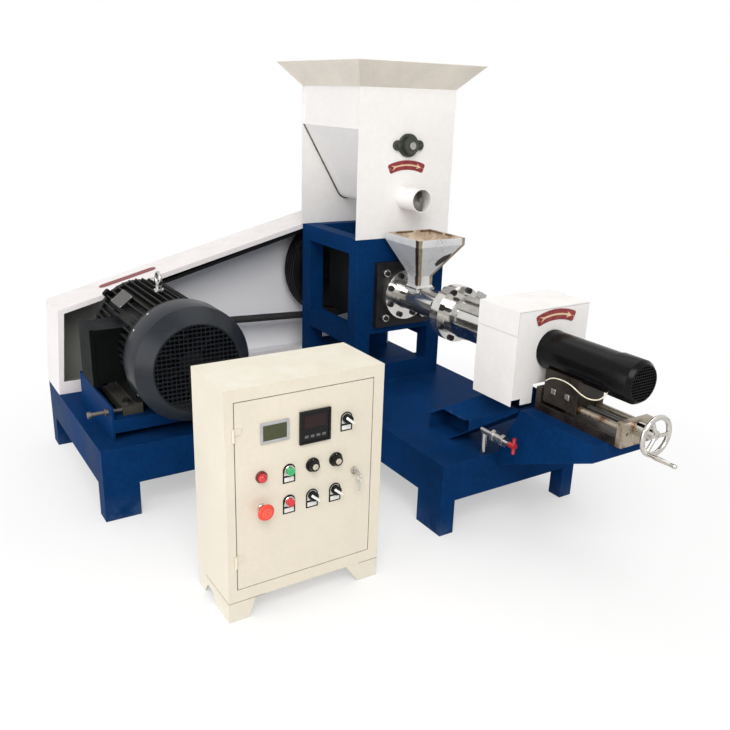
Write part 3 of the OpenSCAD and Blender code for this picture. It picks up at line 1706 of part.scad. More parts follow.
place() {
  main_frame();
  motor_base();
  tower_frame();
  slide_bracket();
  bearing_plate();
  bearing_housing();
  belt_guard();
  motor_rail();
  tension_bolts();
  motor_body();
  motor_cowl();
  motor_terminal_box();
  motor_eye_bolt();
  bin_body();
  bin_rim();
  auger_tube();
  flange_bearing();
  inlet_hopper();
  feed_barrel();
  compression_barrel();
  barrel_clamps();
  barrel_bolts();
  die_plate();
  discharge_chute();
  drain_valve();
  slide_base();
  feed_gearmotor();
  drive_belts();
  feed_chain();
  cabinet_body();
  cabinet_feet();
  motor_rotor();
  motor_pulley();
  main_pulley();
  main_shaft();
  extruder_screw();
  feed_auger();
  agitator();
  slide_saddle();
  cutter_motor();
  cutter_cowl();
  cutter_wire();
  cutter_cover();
  cutter_lid();
  cutter_rotor();
  lead_screw();
  handwheel();
  crank_handle();
  valve_handle();
  cabinet_door();
  door_instruments();
  start_button();
  stop_button();
  emergency_stop();
  selector_left();
  selector_right();
  selector_upper();
  knob_left();
  knob_right();
  door_lock();
}
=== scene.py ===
"""Looks of a fish feed extruder with its belt drive, cutter and control cabinet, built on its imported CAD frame."""

import math

import bmesh
import bpy
from bpy.props import FloatProperty, FloatVectorProperty, IntProperty, PointerProperty
from mathutils import Matrix, Vector


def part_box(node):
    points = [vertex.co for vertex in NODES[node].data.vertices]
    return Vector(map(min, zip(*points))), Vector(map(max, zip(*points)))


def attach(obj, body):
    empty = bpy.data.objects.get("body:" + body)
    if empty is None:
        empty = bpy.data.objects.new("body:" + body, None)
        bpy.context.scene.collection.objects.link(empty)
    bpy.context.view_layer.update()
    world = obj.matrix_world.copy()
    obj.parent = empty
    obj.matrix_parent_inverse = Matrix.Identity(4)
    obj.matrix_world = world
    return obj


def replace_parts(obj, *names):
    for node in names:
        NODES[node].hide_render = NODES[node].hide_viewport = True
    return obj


bl_info = {
    "name": "Fish Feed Extruder",
    "version": (1, 0, 0),
    "blender": (4, 5, 0),
    "location": "View3D > Sidebar > Extruder",
    "description": "Finishes and fine pieces of a fish feed extruder on its CAD frame",
    "category": "Object",
}

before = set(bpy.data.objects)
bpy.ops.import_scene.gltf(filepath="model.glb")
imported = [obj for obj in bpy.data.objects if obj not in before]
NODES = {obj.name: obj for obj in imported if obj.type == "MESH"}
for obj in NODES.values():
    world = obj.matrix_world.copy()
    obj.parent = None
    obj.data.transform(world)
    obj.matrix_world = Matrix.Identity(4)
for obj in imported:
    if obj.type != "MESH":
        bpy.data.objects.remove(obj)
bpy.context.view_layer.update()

# Places in the machine's drawing, in mm: x along the screw from the tower's front plane, y across it, z up
ORIGIN = (368.5, -496.0, 0.0)
SCREW_Z = 640.0
MOTOR_Y, MOTOR_Z = -965.0, 535.0
GUARD_SLOPE = 0.259
AUGER_Z = 1022.0
CABINET_Y = (-1129.0, -644.0)
DOOR_X = 847.0
DOOR_COLUMNS = (-1028.0, -945.0, -873.0, -799.0)
DOOR_ROWS = (428.0, 334.0)
UPPER_SELECTOR = (-766.0, 546.0)
WIRE_ROUTE = [
    (911, -60, 560), (911, -66, 560), (920, -71, 566), (940, -72, 578), (965, -72, 584),
    (995, -72, 585), (1025, -72, 580), (1055, -72, 569), (1085, -71, 562),
    (1112, -68, 564), (1130, -64, 572), (1140, -58, 584), (1142, -50, 594),
]


def at(x, y, z):
    """A point of the machine's drawing, in mm, as a place in metres."""
    return Vector(((x - ORIGIN[0]) / 1000, (y - ORIGIN[1]) / 1000, (z - ORIGIN[2]) / 1000))


def linear(rgb):
    """A screen colour, 0 to 255, as the linear colour that a shader takes."""
    out = []
    for c in rgb[:3]:
        c /= 255
        out.append(c / 12.92 if c <= 0.04045 else ((c + 0.055) / 1.055) ** 2.4)
    return (*out, 1.0)


# ---------------------------------------------------------------- nodes

SOCKETS = {float: "NodeSocketFloat", int: "NodeSocketInt", tuple: "NodeSocketVector", type(None): "NodeSocketMaterial"}


def new_tree(name, kind, inputs, outputs):
    """An empty group with its sockets: inputs by their defaults, None for a finish, and outputs by their types."""
    tree = bpy.data.node_groups.new(name, kind)
    if kind == "GeometryNodeTree":
        for side in ("INPUT", "OUTPUT"):
            tree.interface.new_socket(name="Geometry", in_out=side, socket_type="NodeSocketGeometry")
    for label, value in inputs.items():
        socket = tree.interface.new_socket(name=label, in_out="INPUT", socket_type=SOCKETS[type(value)])
        if value is not None:
            socket.default_value = value
    for label, value_type in outputs.items():
        tree.interface.new_socket(name=label, in_out="OUTPUT", socket_type=SOCKETS[value_type])
    return tree, tree.nodes.new("NodeGroupInput").outputs, tree.nodes.new("NodeGroupOutput").inputs


def fill(tree, node, values):
    """Sets a node's inputs, by name or number, to values or links."""
    for key, value in values.items():
        if isinstance(value, bpy.types.NodeSocket):
            tree.links.new(value, node.inputs[key])
        else:
            node.inputs[key].default_value = value
    return node


def put(tree, kind, values, **settings):
    """A new node with its settings and inputs."""
    node = tree.nodes.new(kind)
    for key, value in settings.items():
        setattr(node, key, value)
    return fill(tree, node, values)


def calc(tree, operation, *values, clamp=False):
    return put(tree, "ShaderNodeMath", dict(enumerate(values)), operation=operation, use_clamp=clamp).outputs[0]


def remap(tree, value, low, high, to_low=0.0, to_high=1.0):
    spans = {"Value": value, "From Min": low, "From Max": high, "To Min": to_low, "To Max": to_high}
    return put(tree, "ShaderNodeMapRange", spans).outputs[0]


def mix_colour(tree, factor, one, two):
    return put(tree, "ShaderNodeMix", {0: factor, 6: one, 7: two}, data_type="RGBA").outputs[2]


def object_place(tree):
    return put(tree, "ShaderNodeTexCoord", {}).outputs["Object"]


def flat_normal(tree):
    return put(tree, "ShaderNodeNewGeometry", {}).outputs["Normal"]


def rounded_normal(tree, radius):
    return put(tree, "ShaderNodeBevel", {"Radius": radius}, samples=4).outputs[0]


def noise(tree, place, scale, detail, rough=0.5):
    values = {"Vector": place, "Scale": scale, "Detail": detail, "Roughness": rough}
    return put(tree, "ShaderNodeTexNoise", values).outputs["Fac"]


def bump(tree, strength, distance, height, normal):
    values = {"Strength": strength, "Distance": distance, "Height": height, "Normal": normal}
    return put(tree, "ShaderNodeBump", values).outputs[0]


# ---------------------------------------------------------------- shader groups


def make_drift_group():
    """Slow and fine changes of tone over a finish."""
    tree, start, end = new_tree("tone_drift", "ShaderNodeTree", {"Scale": 6.0, "Fine Scale": 90.0}, {"Tone": float})
    place = object_place(tree)
    slow = noise(tree, place, start["Scale"], 3.0, 0.55)
    fine = noise(tree, place, start["Fine Scale"], 2.0, 0.6)
    both = calc(tree, "MULTIPLY_ADD", fine, 0.35, calc(tree, "MULTIPLY", slow, 0.65))
    tree.links.new(remap(tree, both, 0.36, 0.64), end["Tone"])
    return tree


def make_dust_group():
    """Meal dust that settles on what faces up, and dirt thrown up near the floor."""
    tree, start, end = new_tree(
        "settled_dust", "ShaderNodeTree", {"Top": 0.4, "Foot": 0.0, "Foot Height": 0.3, "Scale": 14.0}, {"Mask": float}
    )
    place = object_place(tree)
    up = put(tree, "ShaderNodeSeparateXYZ", {0: flat_normal(tree)}).outputs["Z"]
    height = put(tree, "ShaderNodeSeparateXYZ", {0: place}).outputs["Z"]
    patch = noise(tree, place, start["Scale"], 5.0, 0.62)
    top = calc(tree, "MULTIPLY", remap(tree, up, 0.25, 0.95), remap(tree, patch, 0.38, 0.66))
    top = calc(tree, "MULTIPLY", top, start["Top"])
    near = calc(tree, "SUBTRACT", 1.0, calc(tree, "DIVIDE", height, start["Foot Height"]), clamp=True)
    near = calc(tree, "MULTIPLY", calc(tree, "POWER", near, 1.6), remap(tree, patch, 0.34, 0.6))
    near = calc(tree, "MULTIPLY", near, start["Foot"])
    tree.links.new(calc(tree, "ADD", top, near, clamp=True), end["Mask"])
    return tree


def make_wear_group():
    """Where edges are rubbed: the rounded normal leaves the flat one there, broken up by noise."""
    tree, start, end = new_tree(
        "rubbed_edge", "ShaderNodeTree", {"Radius": 0.003, "Amount": 0.5, "Scale": 45.0}, {"Mask": float}
    )
    both = {0: rounded_normal(tree, start["Radius"]), 1: flat_normal(tree)}
    edge = remap(tree, put(tree, "ShaderNodeVectorMath", both, operation="DOT_PRODUCT").outputs["Value"], 0.985, 0.8)
    patch = noise(tree, object_place(tree), start["Scale"], 6.0, 0.7)
    broken = calc(tree, "MULTIPLY", edge, remap(tree, patch, 0.46, 0.6))
    tree.links.new(calc(tree, "MULTIPLY", broken, start["Amount"], clamp=True), end["Mask"])
    return tree


def make_skin_group():
    """The surface itself: softened edges, a fine grain, and slow waves of sheet or casting."""
    tree, start, end = new_tree(
        "surface_skin",
        "ShaderNodeTree",
        {"Edge": 0.0012, "Grain Scale": 700.0, "Grain": 0.1, "Wave Scale": 9.0, "Wave": 0.1},
        {"Normal": tuple},
    )
    place = object_place(tree)
    soft = rounded_normal(tree, start["Edge"])
    wavy = bump(tree, start["Wave"], 0.01, noise(tree, place, start["Wave Scale"], 2.0), soft)
    grainy = bump(tree, start["Grain"], 0.0008, noise(tree, place, start["Grain Scale"], 3.0), wavy)
    tree.links.new(grainy, end["Normal"])
    return tree


def make_lines_group():
    """Fine lines left by turning, rolling or brushing: noise drawn out along the lay."""
    tree, start, end = new_tree(
        "tool_lines",
        "ShaderNodeTree",
        {"Lay": (900.0, 6.0, 6.0), "Normal": (0.0, 0.0, 0.0), "Depth": 0.1},
        {"Line": float, "Normal": tuple},
    )
    drawn = put(tree, "ShaderNodeVectorMath", {0: object_place(tree), 1: start["Lay"]}, operation="MULTIPLY").outputs[0]
    line = noise(tree, drawn, 1.0, 3.0, 0.6)
    tree.links.new(remap(tree, line, 0.3, 0.7), end["Line"])
    tree.links.new(bump(tree, start["Depth"], 0.0006, line, start["Normal"]), end["Normal"])
    return tree


GROUPS = {
    "drift": make_drift_group(),
    "dust": make_dust_group(),
    "wear": make_wear_group(),
    "skin": make_skin_group(),
    "lines": make_lines_group(),
}


def group_node(tree, key, **values):
    """One of the groups in a material; its inputs are named with _ for a space."""
    node = tree.nodes.new("ShaderNodeGroup")
    node.node_tree = GROUPS[key]
    return fill(tree, node, {name.replace("_", " "): value for name, value in values.items()}).outputs


# ---------------------------------------------------------------- zones of a finish
# Each gives a mask, the colour there and how metallic it is there.


def axes_of(tree):
    """Object coordinates in the drawing's mm, as three sockets."""
    parts = put(tree, "ShaderNodeSeparateXYZ", {0: object_place(tree)}).outputs
    return [calc(tree, "MULTIPLY_ADD", parts[i], 1000.0, ORIGIN[i]) for i in range(3)]


def square_sum(tree, a, b):
    return calc(tree, "ADD", calc(tree, "MULTIPLY", a, a), calc(tree, "MULTIPLY", b, b))


def guard_inside(tree):
    """The guard's inner faces: grey, lightened as painted light where they sit in shade, with a painted shadow band
    under the top, and nearly black at the end behind the motor from painted shade and dirt.
    """
    back, mouth, floor, skin, end_lean = -654.4, -457.6, 261.6, 1.6, 0.069
    x, y, z = axes_of(tree)
    top = calc(tree, "MULTIPLY_ADD", y, GUARD_SLOPE, 594.0 + GUARD_SLOPE * 1251.0 - skin)
    end = calc(tree, "MULTIPLY_ADD", z, end_lean, -1274.0 - end_lean * 260.0 + skin)
    room = calc(tree, "SUBTRACT", x, back)
    for far, near in ((mouth, x), (y, end), (top, z), (z, floor)):
        room = calc(tree, "MINIMUM", room, calc(tree, "SUBTRACT", far, near))
    mask = calc(tree, "GREATER_THAN", room, 0.0)
    # Painted light and shade: darker towards the end behind the motor (shade with dirt), lighter than the outer paint
    # elsewhere to make up for shade
    colour = mix_colour(tree, remap(tree, y, -1090.0, -930.0), linear((146, 147, 142)), linear((244, 245, 249)))
    # Painted shadow of the lip and belts on the back wall: a dark band under the top
    shade_under_top = remap(tree, calc(tree, "SUBTRACT", top, z), 24.0, 38.0)
    return mask, mix_colour(tree, shade_under_top, linear((46, 44, 42)), colour), 0.0


def slide_end(tree):
    """The slide's end block and its round ways are bare metal with rust."""
    way_y, way_z, way_from, end_from = 42.0, 503.0, 894.5, 1203.5
    x, y, z = axes_of(tree)
    across = calc(tree, "SUBTRACT", calc(tree, "ABSOLUTE", y), way_y)
    near_way = calc(tree, "LESS_THAN", square_sum(tree, across, calc(tree, "SUBTRACT", z, way_z)), 112.0)
    way = calc(tree, "MULTIPLY", near_way, calc(tree, "GREATER_THAN", x, way_from))
    mask = calc(tree, "MAXIMUM", way, calc(tree, "GREATER_THAN", x, end_from))
    rust = remap(tree, noise(tree, object_place(tree), 26.0, 4.0, 0.6), 0.5, 0.66)
    return mask, mix_colour(tree, rust, linear((172, 162, 146)), linear((112, 78, 52))), 0.6


def barrel_painted_shade(tree):
    """Painted shade and a painted dark reflection on the undersides of the barrels, darker towards the bottom; the feed
    barrel's flange stays bright.
    """
    sleeve_r, past_flange = 58.0, 386.0
    x, y, z = axes_of(tree)
    up = calc(tree, "SUBTRACT", z, SCREW_Z)
    sleeve = calc(tree, "LESS_THAN", square_sum(tree, y, up), sleeve_r**2)
    plain = calc(tree, "MAXIMUM", sleeve, calc(tree, "GREATER_THAN", x, past_flange))
    # Painted shade and reflection: darker towards the bottom of each barrel
    low = remap(tree, calc(tree, "MULTIPLY_ADD", y, -0.25, up), 22.0, -8.0, 0.0, 0.8)
    return calc(tree, "MULTIPLY", plain, low), linear((38, 40, 52)), 0.8


def motor_feet_dust_and_light(tree):
    """Dusty feet of the main motor, made lighter as painted light where they sit in shade."""
    return calc(tree, "LESS_THAN", axes_of(tree)[2], 374.0), linear((72, 70, 65)), 0.1


def hopper_inside(tree):
    """The hopper's inner faces, coated with meal."""
    x, y, z = axes_of(tree)
    share = remap(tree, z, 738.0, 870.0)
    across = calc(tree, "ABSOLUTE", calc(tree, "SUBTRACT", x, remap(tree, share, 0.0, 1.0, 127.0, 144.0)))
    in_x = calc(tree, "LESS_THAN", across, remap(tree, share, 0.0, 1.0, 32.75, 108.75))
    in_y = calc(tree, "LESS_THAN", calc(tree, "ABSOLUTE", y), remap(tree, share, 0.0, 1.0, 32.75, 106.75))
    meal = remap(tree, noise(tree, object_place(tree), 22.0, 6.0, 0.65), 0.42, 0.64)
    colour = mix_colour(tree, meal, linear((222, 206, 184)), linear((168, 140, 112)))
    return calc(tree, "MULTIPLY", in_x, in_y), colour, 0.1


# ---------------------------------------------------------------- finishes


def paint_of(name):
    return [c * 255 for c in getattr(bpy.context.scene.extruder_paint, name)]


def make_finish(
    name,
    colour=None,
    rough=0.4,
    metal=0.0,
    coat=0.0,
    drift=0.08,
    scale=6.0,
    dust=0.0,
    foot=0.0,
    foot_height=0.3,
    dust_colour=(176, 165, 146),
    wear=0.0,
    wear_colour=(120, 118, 114),
    edge=0.0012,
    grain=0.1,
    grain_scale=700.0,
    wave=0.08,
    wave_scale=9.0,
    lay=None,
    lay_depth=0.1,
    rough_spread=0.08,
    specular=0.5,
    zone=None,
):
    """A finish from the shared groups. Colours are screen colours; without one, it is the user's paint of that name."""
    colour = colour or paint_of(name)
    material = bpy.data.materials.new(name)
    material.use_nodes = True
    tree = material.node_tree
    shader = tree.nodes["Principled BSDF"]
    tone = group_node(tree, "drift", Scale=scale, Fine_Scale=scale * 15)["Tone"]
    dark = linear([c * (1 - drift) for c in colour])
    pale = linear([min(255, c * (1 + drift * 0.6) + drift * 14) for c in colour])
    base = mix_colour(tree, tone, dark, pale)
    normal = group_node(
        tree, "skin", Edge=edge, Grain_Scale=grain_scale, Grain=grain, Wave_Scale=wave_scale, Wave=wave
    )["Normal"]
    roughness = remap(tree, tone, 0, 1, max(0.02, rough - rough_spread), min(1, rough + rough_spread))
    metallic = metal
    if zone:
        mask, inside, inside_metal = zone(tree)
        base = mix_colour(tree, mask, base, inside)
        metallic = calc(tree, "MULTIPLY_ADD", mask, inside_metal - metal, metal)
    if lay:
        lines = group_node(tree, "lines", Lay=lay, Depth=lay_depth, Normal=normal)
        normal = lines["Normal"]
        base = mix_colour(tree, calc(tree, "MULTIPLY", lines["Line"], 0.3), base, dark)
    if wear:
        mask = group_node(tree, "wear", Amount=wear)["Mask"]
        base = mix_colour(tree, mask, base, linear(wear_colour))
    if dust or foot:
        mask = group_node(tree, "dust", Top=dust, Foot=foot, Foot_Height=foot_height)["Mask"]
        base = mix_colour(tree, mask, base, linear(dust_colour))
        roughness = calc(tree, "MULTIPLY_ADD", mask, 0.5, roughness, clamp=True)
    fill(tree, shader, {
        "Base Color": base, "Roughness": roughness, "Normal": normal, "Metallic": metallic,
        "Coat Weight": coat, "Coat Roughness": 0.12, "Specular IOR Level": specular,
    })
    return material


FINISHES = {
    # Paints
    "frame_blue": dict(
        rough=0.4, drift=0.12, scale=4.0, dust=0.03, dust_colour=(86, 104, 132), foot=0.4, foot_height=0.1, wear=0.3,
        wear_colour=(78, 94, 116), grain=0.02, wave=0.05, specular=0.01,
    ),
    "bin_white": dict(
        rough=0.36, coat=0.15, drift=0.02, scale=3.0, dust=0.18, dust_colour=(205, 196, 180), grain=0.03, wave=0.1,
        wave_scale=5.0, specular=0.4,
    ),
    "guard_white": dict(
        colour=(234, 229, 229), rough=0.4, drift=0.02, scale=3.0, dust=0.25, dust_colour=(204, 196, 186), grain=0.02,
        wave_scale=5.0, specular=0.35, zone=guard_inside,
    ),
    # Painted shade: a darker, warmer copy of the bin's white for its rim; its dust is real
    "rim_white": dict(
        colour=(229, 221, 209), rough=0.45, drift=0.04, scale=7.0, dust=0.3, dust_colour=(180, 164, 138), grain=0.03,
        wave=0.1, wave_scale=5.0, specular=0.35,
    ),
    "cabinet_ivory": dict(
        rough=0.42, drift=0.02, scale=5.0, dust=0.35, dust_colour=(226, 229, 223), foot=0.35, foot_height=0.1,
        grain_scale=520.0, wave=0.05, specular=0.4,
    ),
    "motor_black": dict(
        rough=0.5, drift=0.22, scale=9.0, dust=0.45, dust_colour=(70, 68, 62), wear=0.12, wear_colour=(80, 78, 76),
        grain=0.04, grain_scale=420.0, specular=0.1, zone=motor_feet_dust_and_light,
    ),
    "box_black": dict(
        colour=(13, 15, 15), rough=0.45, drift=0.2, scale=9.0, dust=0.3, dust_colour=(52, 54, 64), wear=0.2,
        wear_colour=(80, 78, 76), grain=0.04, specular=0.02,
    ),
    "cowl_black": dict(
        colour=(22, 27, 34), rough=0.34, drift=0.12, scale=8.0, dust=0.05, dust_colour=(74, 78, 84), wear=0.1,
        wear_colour=(84, 86, 88), grain=0.01, wave=0.03, specular=0.26,
    ),
    "cutter_black": dict(
        colour=(9, 9, 10), rough=0.2, drift=0.14, scale=8.0, dust=0.04, dust_colour=(60, 60, 62), wear=0.1,
        wear_colour=(84, 86, 88), grain=0.01, wave=0.03, specular=0.12,
    ),
    "handle_red": dict(colour=(176, 34, 38), rough=0.3, coat=0.3, drift=0.1, scale=20.0),
    # Bare metals
    "worn_steel": dict(
        colour=(104, 102, 98), rough=0.42, metal=0.7, drift=0.2, scale=16.0, lay=(8, 600, 8), lay_depth=0.12,
        grain=0.06,
    ),
    "polished_steel": dict(
        colour=(214, 212, 208), rough=0.15, metal=0.95, drift=0.05, scale=12.0, lay=(1100, 4, 4), lay_depth=0.05,
        grain=0.03, rough_spread=0.05, zone=barrel_painted_shade,
    ),
    "machined_steel": dict(
        colour=(186, 184, 180), rough=0.26, metal=1.0, drift=0.1, scale=14.0, lay=(900, 8, 8), lay_depth=0.12,
        grain=0.06,
    ),
    "dusty_stainless": dict(
        colour=(214, 215, 217), rough=0.34, metal=0.35, drift=0.06, scale=11.0, dust=0.85, dust_colour=(196, 174, 144),
        lay=(10, 10, 700), lay_depth=0.04, grain=0.02, wave=0.03, wave_scale=7.0, specular=0.4, zone=hopper_inside,
    ),
    "chrome": dict(
        colour=(202, 199, 193), rough=0.09, metal=1.0, drift=0.04, scale=18.0, grain=0.02, wave=0.03,
        rough_spread=0.03,
    ),
    "oily_casting": dict(
        colour=(44, 38, 33), rough=0.3, metal=0.3, drift=0.3, scale=16.0, dust=0.2, dust_colour=(84, 68, 50),
        grain=0.2, grain_scale=260.0, wear=0.4, wear_colour=(130, 118, 100), specular=0.35, zone=slide_end,
    ),
    "blackened_steel": dict(
        colour=(26, 26, 28), rough=0.42, metal=0.2, drift=0.2, scale=18.0, grain_scale=400.0, wear=0.35, specular=0.25,
    ),
    "cast_iron": dict(
        colour=(62, 66, 58), rough=0.5, metal=0.4, drift=0.25, scale=28.0, grain=0.6, grain_scale=240.0, wear=0.3,
        wear_colour=(120, 120, 112),
    ),
    # Rubber, plastic and small pieces of the machine
    "belt_rubber": dict(
        colour=(28, 28, 29), rough=0.75, drift=0.2, scale=20.0, grain=0.4, grain_scale=320.0, dust=0.3,
        dust_colour=(84, 80, 74),
    ),
    "black_plastic": dict(
        colour=(16, 16, 18), rough=0.3, drift=0.12, scale=30.0, grain=0.05, grain_scale=900.0, edge=0.0008,
        specular=0.2,
    ),
    "wire_cream": dict(colour=(226, 218, 196), rough=0.45, scale=60.0, grain=0.05, edge=0.0004),
    "plate_red": dict(
        rough=0.3, metal=0.3, coat=0.4, drift=0.12, scale=40.0, grain=0.05, wear=0.5, wear_colour=(190, 150, 120),
        edge=0.0004,
    ),
    "plate_gold": dict(colour=(232, 200, 160), rough=0.35, metal=0.2, scale=40.0, grain=0.05, edge=0.0004),
    "strip_red": dict(
        colour=(124, 58, 62), rough=0.5, drift=0.2, scale=30.0, grain=0.05, dust=0.25, dust_colour=(150, 116, 114),
        edge=0.0004, specular=0.3,
    ),
    "nameplate_grey": dict(
        colour=(72, 70, 67), metal=0.4, drift=0.14, scale=40.0, grain=0.08, lay=(8, 500, 8), lay_depth=0.05,
    ),
    # Painted shadow with a seam: the dark hopper corner strips, and the shadow on the hopper's front slope
    "seam_brown": dict(colour=(42, 35, 30), rough=0.5, drift=0.3, scale=30.0, specular=0.25),
    "seam_tan": dict(colour=(142, 128, 108), rough=0.5, drift=0.25, scale=30.0, specular=0.3),
    "seam_seal": dict(colour=(84, 76, 66), rough=0.5, drift=0.4, scale=24.0, specular=0.3),
    "meal_crumbs": dict(colour=(112, 90, 68), rough=0.9, drift=0.35, scale=60.0, grain=0.5, specular=0.2),
    # The cabinet's seams, inside and door
    "seam_shade": dict(colour=(150, 134, 108), rough=0.6, drift=0.2, scale=30.0, specular=0.3),
    "seal_black": dict(colour=(30, 29, 27), rough=0.6, drift=0.2, scale=30.0, specular=0.2),
    "rail_steel": dict(colour=(176, 178, 178), rough=0.35, metal=0.9, scale=30.0, grain=0.05),
    "duct_grey": dict(colour=(160, 162, 162), rough=0.5, drift=0.05, scale=20.0),
    "terminal_beige": dict(colour=(200, 190, 160), rough=0.45, drift=0.06, scale=40.0),
    "breaker_pale": dict(colour=(216, 216, 212), drift=0.05, scale=40.0),
    "bezel_grey": dict(colour=(168, 168, 172), rough=0.35, drift=0.06, scale=30.0, grain=0.05, edge=0.0006),
    "screen_glass": dict(colour=(72, 76, 52), rough=0.12, scale=20.0, grain=0.0, wave=0.0, specular=0.2),
    "digit_window": dict(colour=(40, 22, 24), rough=0.12, drift=0.1, scale=20.0, grain=0.0, wave=0.0, specular=0.2),
    "controller_keys": dict(colour=(84, 86, 86), scale=40.0),
    "lamp_ring": dict(colour=(96, 20, 24), rough=0.3, drift=0.1, scale=40.0),
    "lamp_red": dict(colour=(196, 26, 34), rough=0.12, coat=0.5, drift=0.12, scale=60.0, grain=0.0),
    "legend_silver": dict(
        colour=(206, 208, 206), rough=0.3, metal=0.6, drift=0.05, scale=40.0, lay=(10, 900, 10), lay_depth=0.05,
        grain=0.05,
    ),
    "legend_blank": dict(colour=(222, 222, 218), drift=0.03, scale=40.0, grain=0.05),
    "lever_white": dict(colour=(228, 228, 226), rough=0.35, drift=0.04, scale=60.0, grain=0.05),
    "knob_cap": dict(
        colour=(196, 188, 170), rough=0.28, metal=0.4, drift=0.05, scale=60.0, lay=(10, 600, 10), lay_depth=0.05,
    ),
    "button_green": dict(colour=(40, 172, 100), rough=0.28, coat=0.3, drift=0.06, scale=60.0),
    "button_red": dict(colour=(206, 34, 42), rough=0.28, coat=0.3, drift=0.06, scale=60.0),
    "mushroom_red": dict(colour=(224, 74, 58), drift=0.06, scale=60.0, specular=0.3),
    "mushroom_ring": dict(colour=(238, 112, 92), drift=0.06, scale=60.0, specular=0.3),
}

MADE = {}


def finish(name):
    """The finish of that name, made when it is first asked for. The CAD's own materials share some of the names."""
    if name not in MADE:
        MADE[name] = make_finish(name, **FINISHES[name])
    return MADE[name]


def dress(finishes):
    """Gives CAD nodes one finish each, in all their slots."""
    for name, nodes in finishes.items():
        for node in nodes:
            mesh = NODES[node].data
            if not mesh.materials:
                mesh.materials.append(finish(name))
            for i in range(len(mesh.materials)):
                mesh.materials[i] = finish(name)


# ---------------------------------------------------------------- meshes


def show(item):
    bpy.context.scene.collection.objects.link(item)
    return item


def piece(name, bm, finishes, body, smooth=True, bevel=0.0):
    """A piece from a bmesh, with its finishes in slot order, riding on a body."""
    bmesh.ops.remove_doubles(bm, verts=bm.verts, dist=1e-6)
    bmesh.ops.recalc_face_normals(bm, faces=bm.faces)
    mesh = bpy.data.meshes.new(name)
    bm.to_mesh(mesh)
    bm.free()
    item = show(bpy.data.objects.new(name, mesh))
    for label in finishes.split():
        mesh.materials.append(finish(label))
    if bevel:
        mod = item.modifiers.new("edges", "BEVEL")
        mod.width = bevel
        mod.segments = 2
        mod.limit_method = "ANGLE"
        mod.angle_limit = math.radians(35)
    if smooth:
        for polygon in mesh.polygons:
            polygon.use_smooth = True
        mesh.set_sharp_from_angle(angle=math.radians(32))
    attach(item, body)
    return item


def span_rings(bm, rings):
    """Quads from each ring of vertices to the next."""
    for one, two in zip(rings, rings[1:]):
        for i in range(len(one)):
            j = (i + 1) % len(one)
            bm.faces.new([one[i], one[j], two[j], two[i]])


def add_block(bm, low, high, material=0):
    """A box between two corners given in the drawing's mm."""
    a, b = at(*low), at(*high)
    corners = [bm.verts.new((x, y, z)) for x in (a.x, b.x) for y in (a.y, b.y) for z in (a.z, b.z)]
    for quad in ((0, 1, 3, 2), (4, 6, 7, 5), (0, 4, 5, 1), (2, 3, 7, 6), (0, 2, 6, 4), (1, 5, 7, 3)):
        bm.faces.new([corners[i] for i in quad]).material_index = material
    return corners


def add_lathe(bm, profile, centre, sides=48, material=0):
    """Turns (along, radius) pairs in mm about the line along x through a centre in the drawing."""
    x, y, z = centre
    rings = []
    for along, radius in profile:
        if radius <= 0:
            rings.append([bm.verts.new(at(x + along, y, z))])
            continue
        turns = [2 * math.pi * i / sides for i in range(sides)]
        rings.append([bm.verts.new(at(x + along, y + radius * math.cos(a), z + radius * math.sin(a))) for a in turns])
    for one, two in zip(rings, rings[1:]):
        for i in range(sides):
            j = (i + 1) % sides
            quad = [one[i % len(one)], one[j % len(one)], two[j % len(two)], two[i % len(two)]]
            quad = list(dict.fromkeys(quad))
            if len(quad) > 2:
                bm.faces.new(quad).material_index = material


def add_prism(bm, low, high, material):
    """A closed prism between two outlines of points in the drawing."""
    low = [bm.verts.new(at(*p)) for p in low]
    high = [bm.verts.new(at(*p)) for p in high]
    bm.faces.new(low).material_index = material
    bm.faces.new(list(reversed(high))).material_index = material
    for i in range(len(low)):
        j = (i + 1) % len(low)
        bm.faces.new([low[i], high[i], high[j], low[j]]).material_index = material


def add_plate(bm, outline, depth, place, material=0):
    """A flat outline of (u, v) pairs in mm, thickened; place(u, v, w) gives the drawing's point."""
    add_prism(bm, [place(u, v, 0) for u, v in outline], [place(u, v, depth) for u, v in outline], material)


def add_slab(bm, corners, depth, away, material):
    """A flat sheet through corners in the drawing, thickened by a depth in mm to the side that it faces."""
    sunk = 0.2
    points = [Vector(p) for p in corners]
    normal = (points[1] - points[0]).cross(points[2] - points[0]).normalized()
    if normal.dot(Vector(away)) < 0:
        normal.negate()
    add_prism(bm, [p - normal * sunk for p in points], [p + normal * depth for p in points], material)


def add_bezel(bm, y, z, w, h, border, depth):
    """A rectangular bezel with a hole, standing on the door."""
    outer = [(y, z), (y + w, z), (y + w, z + h), (y, z + h)]
    inner = [(y + border, z + border), (y + w - border, z + border), (y + w - border, z + h - border),
             (y + border, z + h - border)]
    rings = [
        [bm.verts.new(at(DOOR_X + d, *p)) for p in ring]
        for ring, d in ((outer, 0.1), (outer, depth), (inner, depth), (inner, 0.1))
    ]
    span_rings(bm, rings + rings[:1])


def add_tube(bm, points, radius, sides):
    """A round tube of a radius in metres along points in metres, its frame carried along without twist."""
    rings = []
    side = points[1] - points[0]
    side = side.normalized().orthogonal().normalized()
    for i, point in enumerate(points):
        ahead = (points[min(i + 1, len(points) - 1)] - points[max(i - 1, 0)]).normalized()
        side = (side - ahead * side.dot(ahead)).normalized()
        other = ahead.cross(side)
        turns = [2 * math.pi * k / sides for k in range(sides)]
        rings.append([bm.verts.new(point + radius * (side * math.cos(a) + other * math.sin(a))) for a in turns])
    span_rings(bm, rings)
    bm.faces.new(list(reversed(rings[0])))
    bm.faces.new(rings[-1])


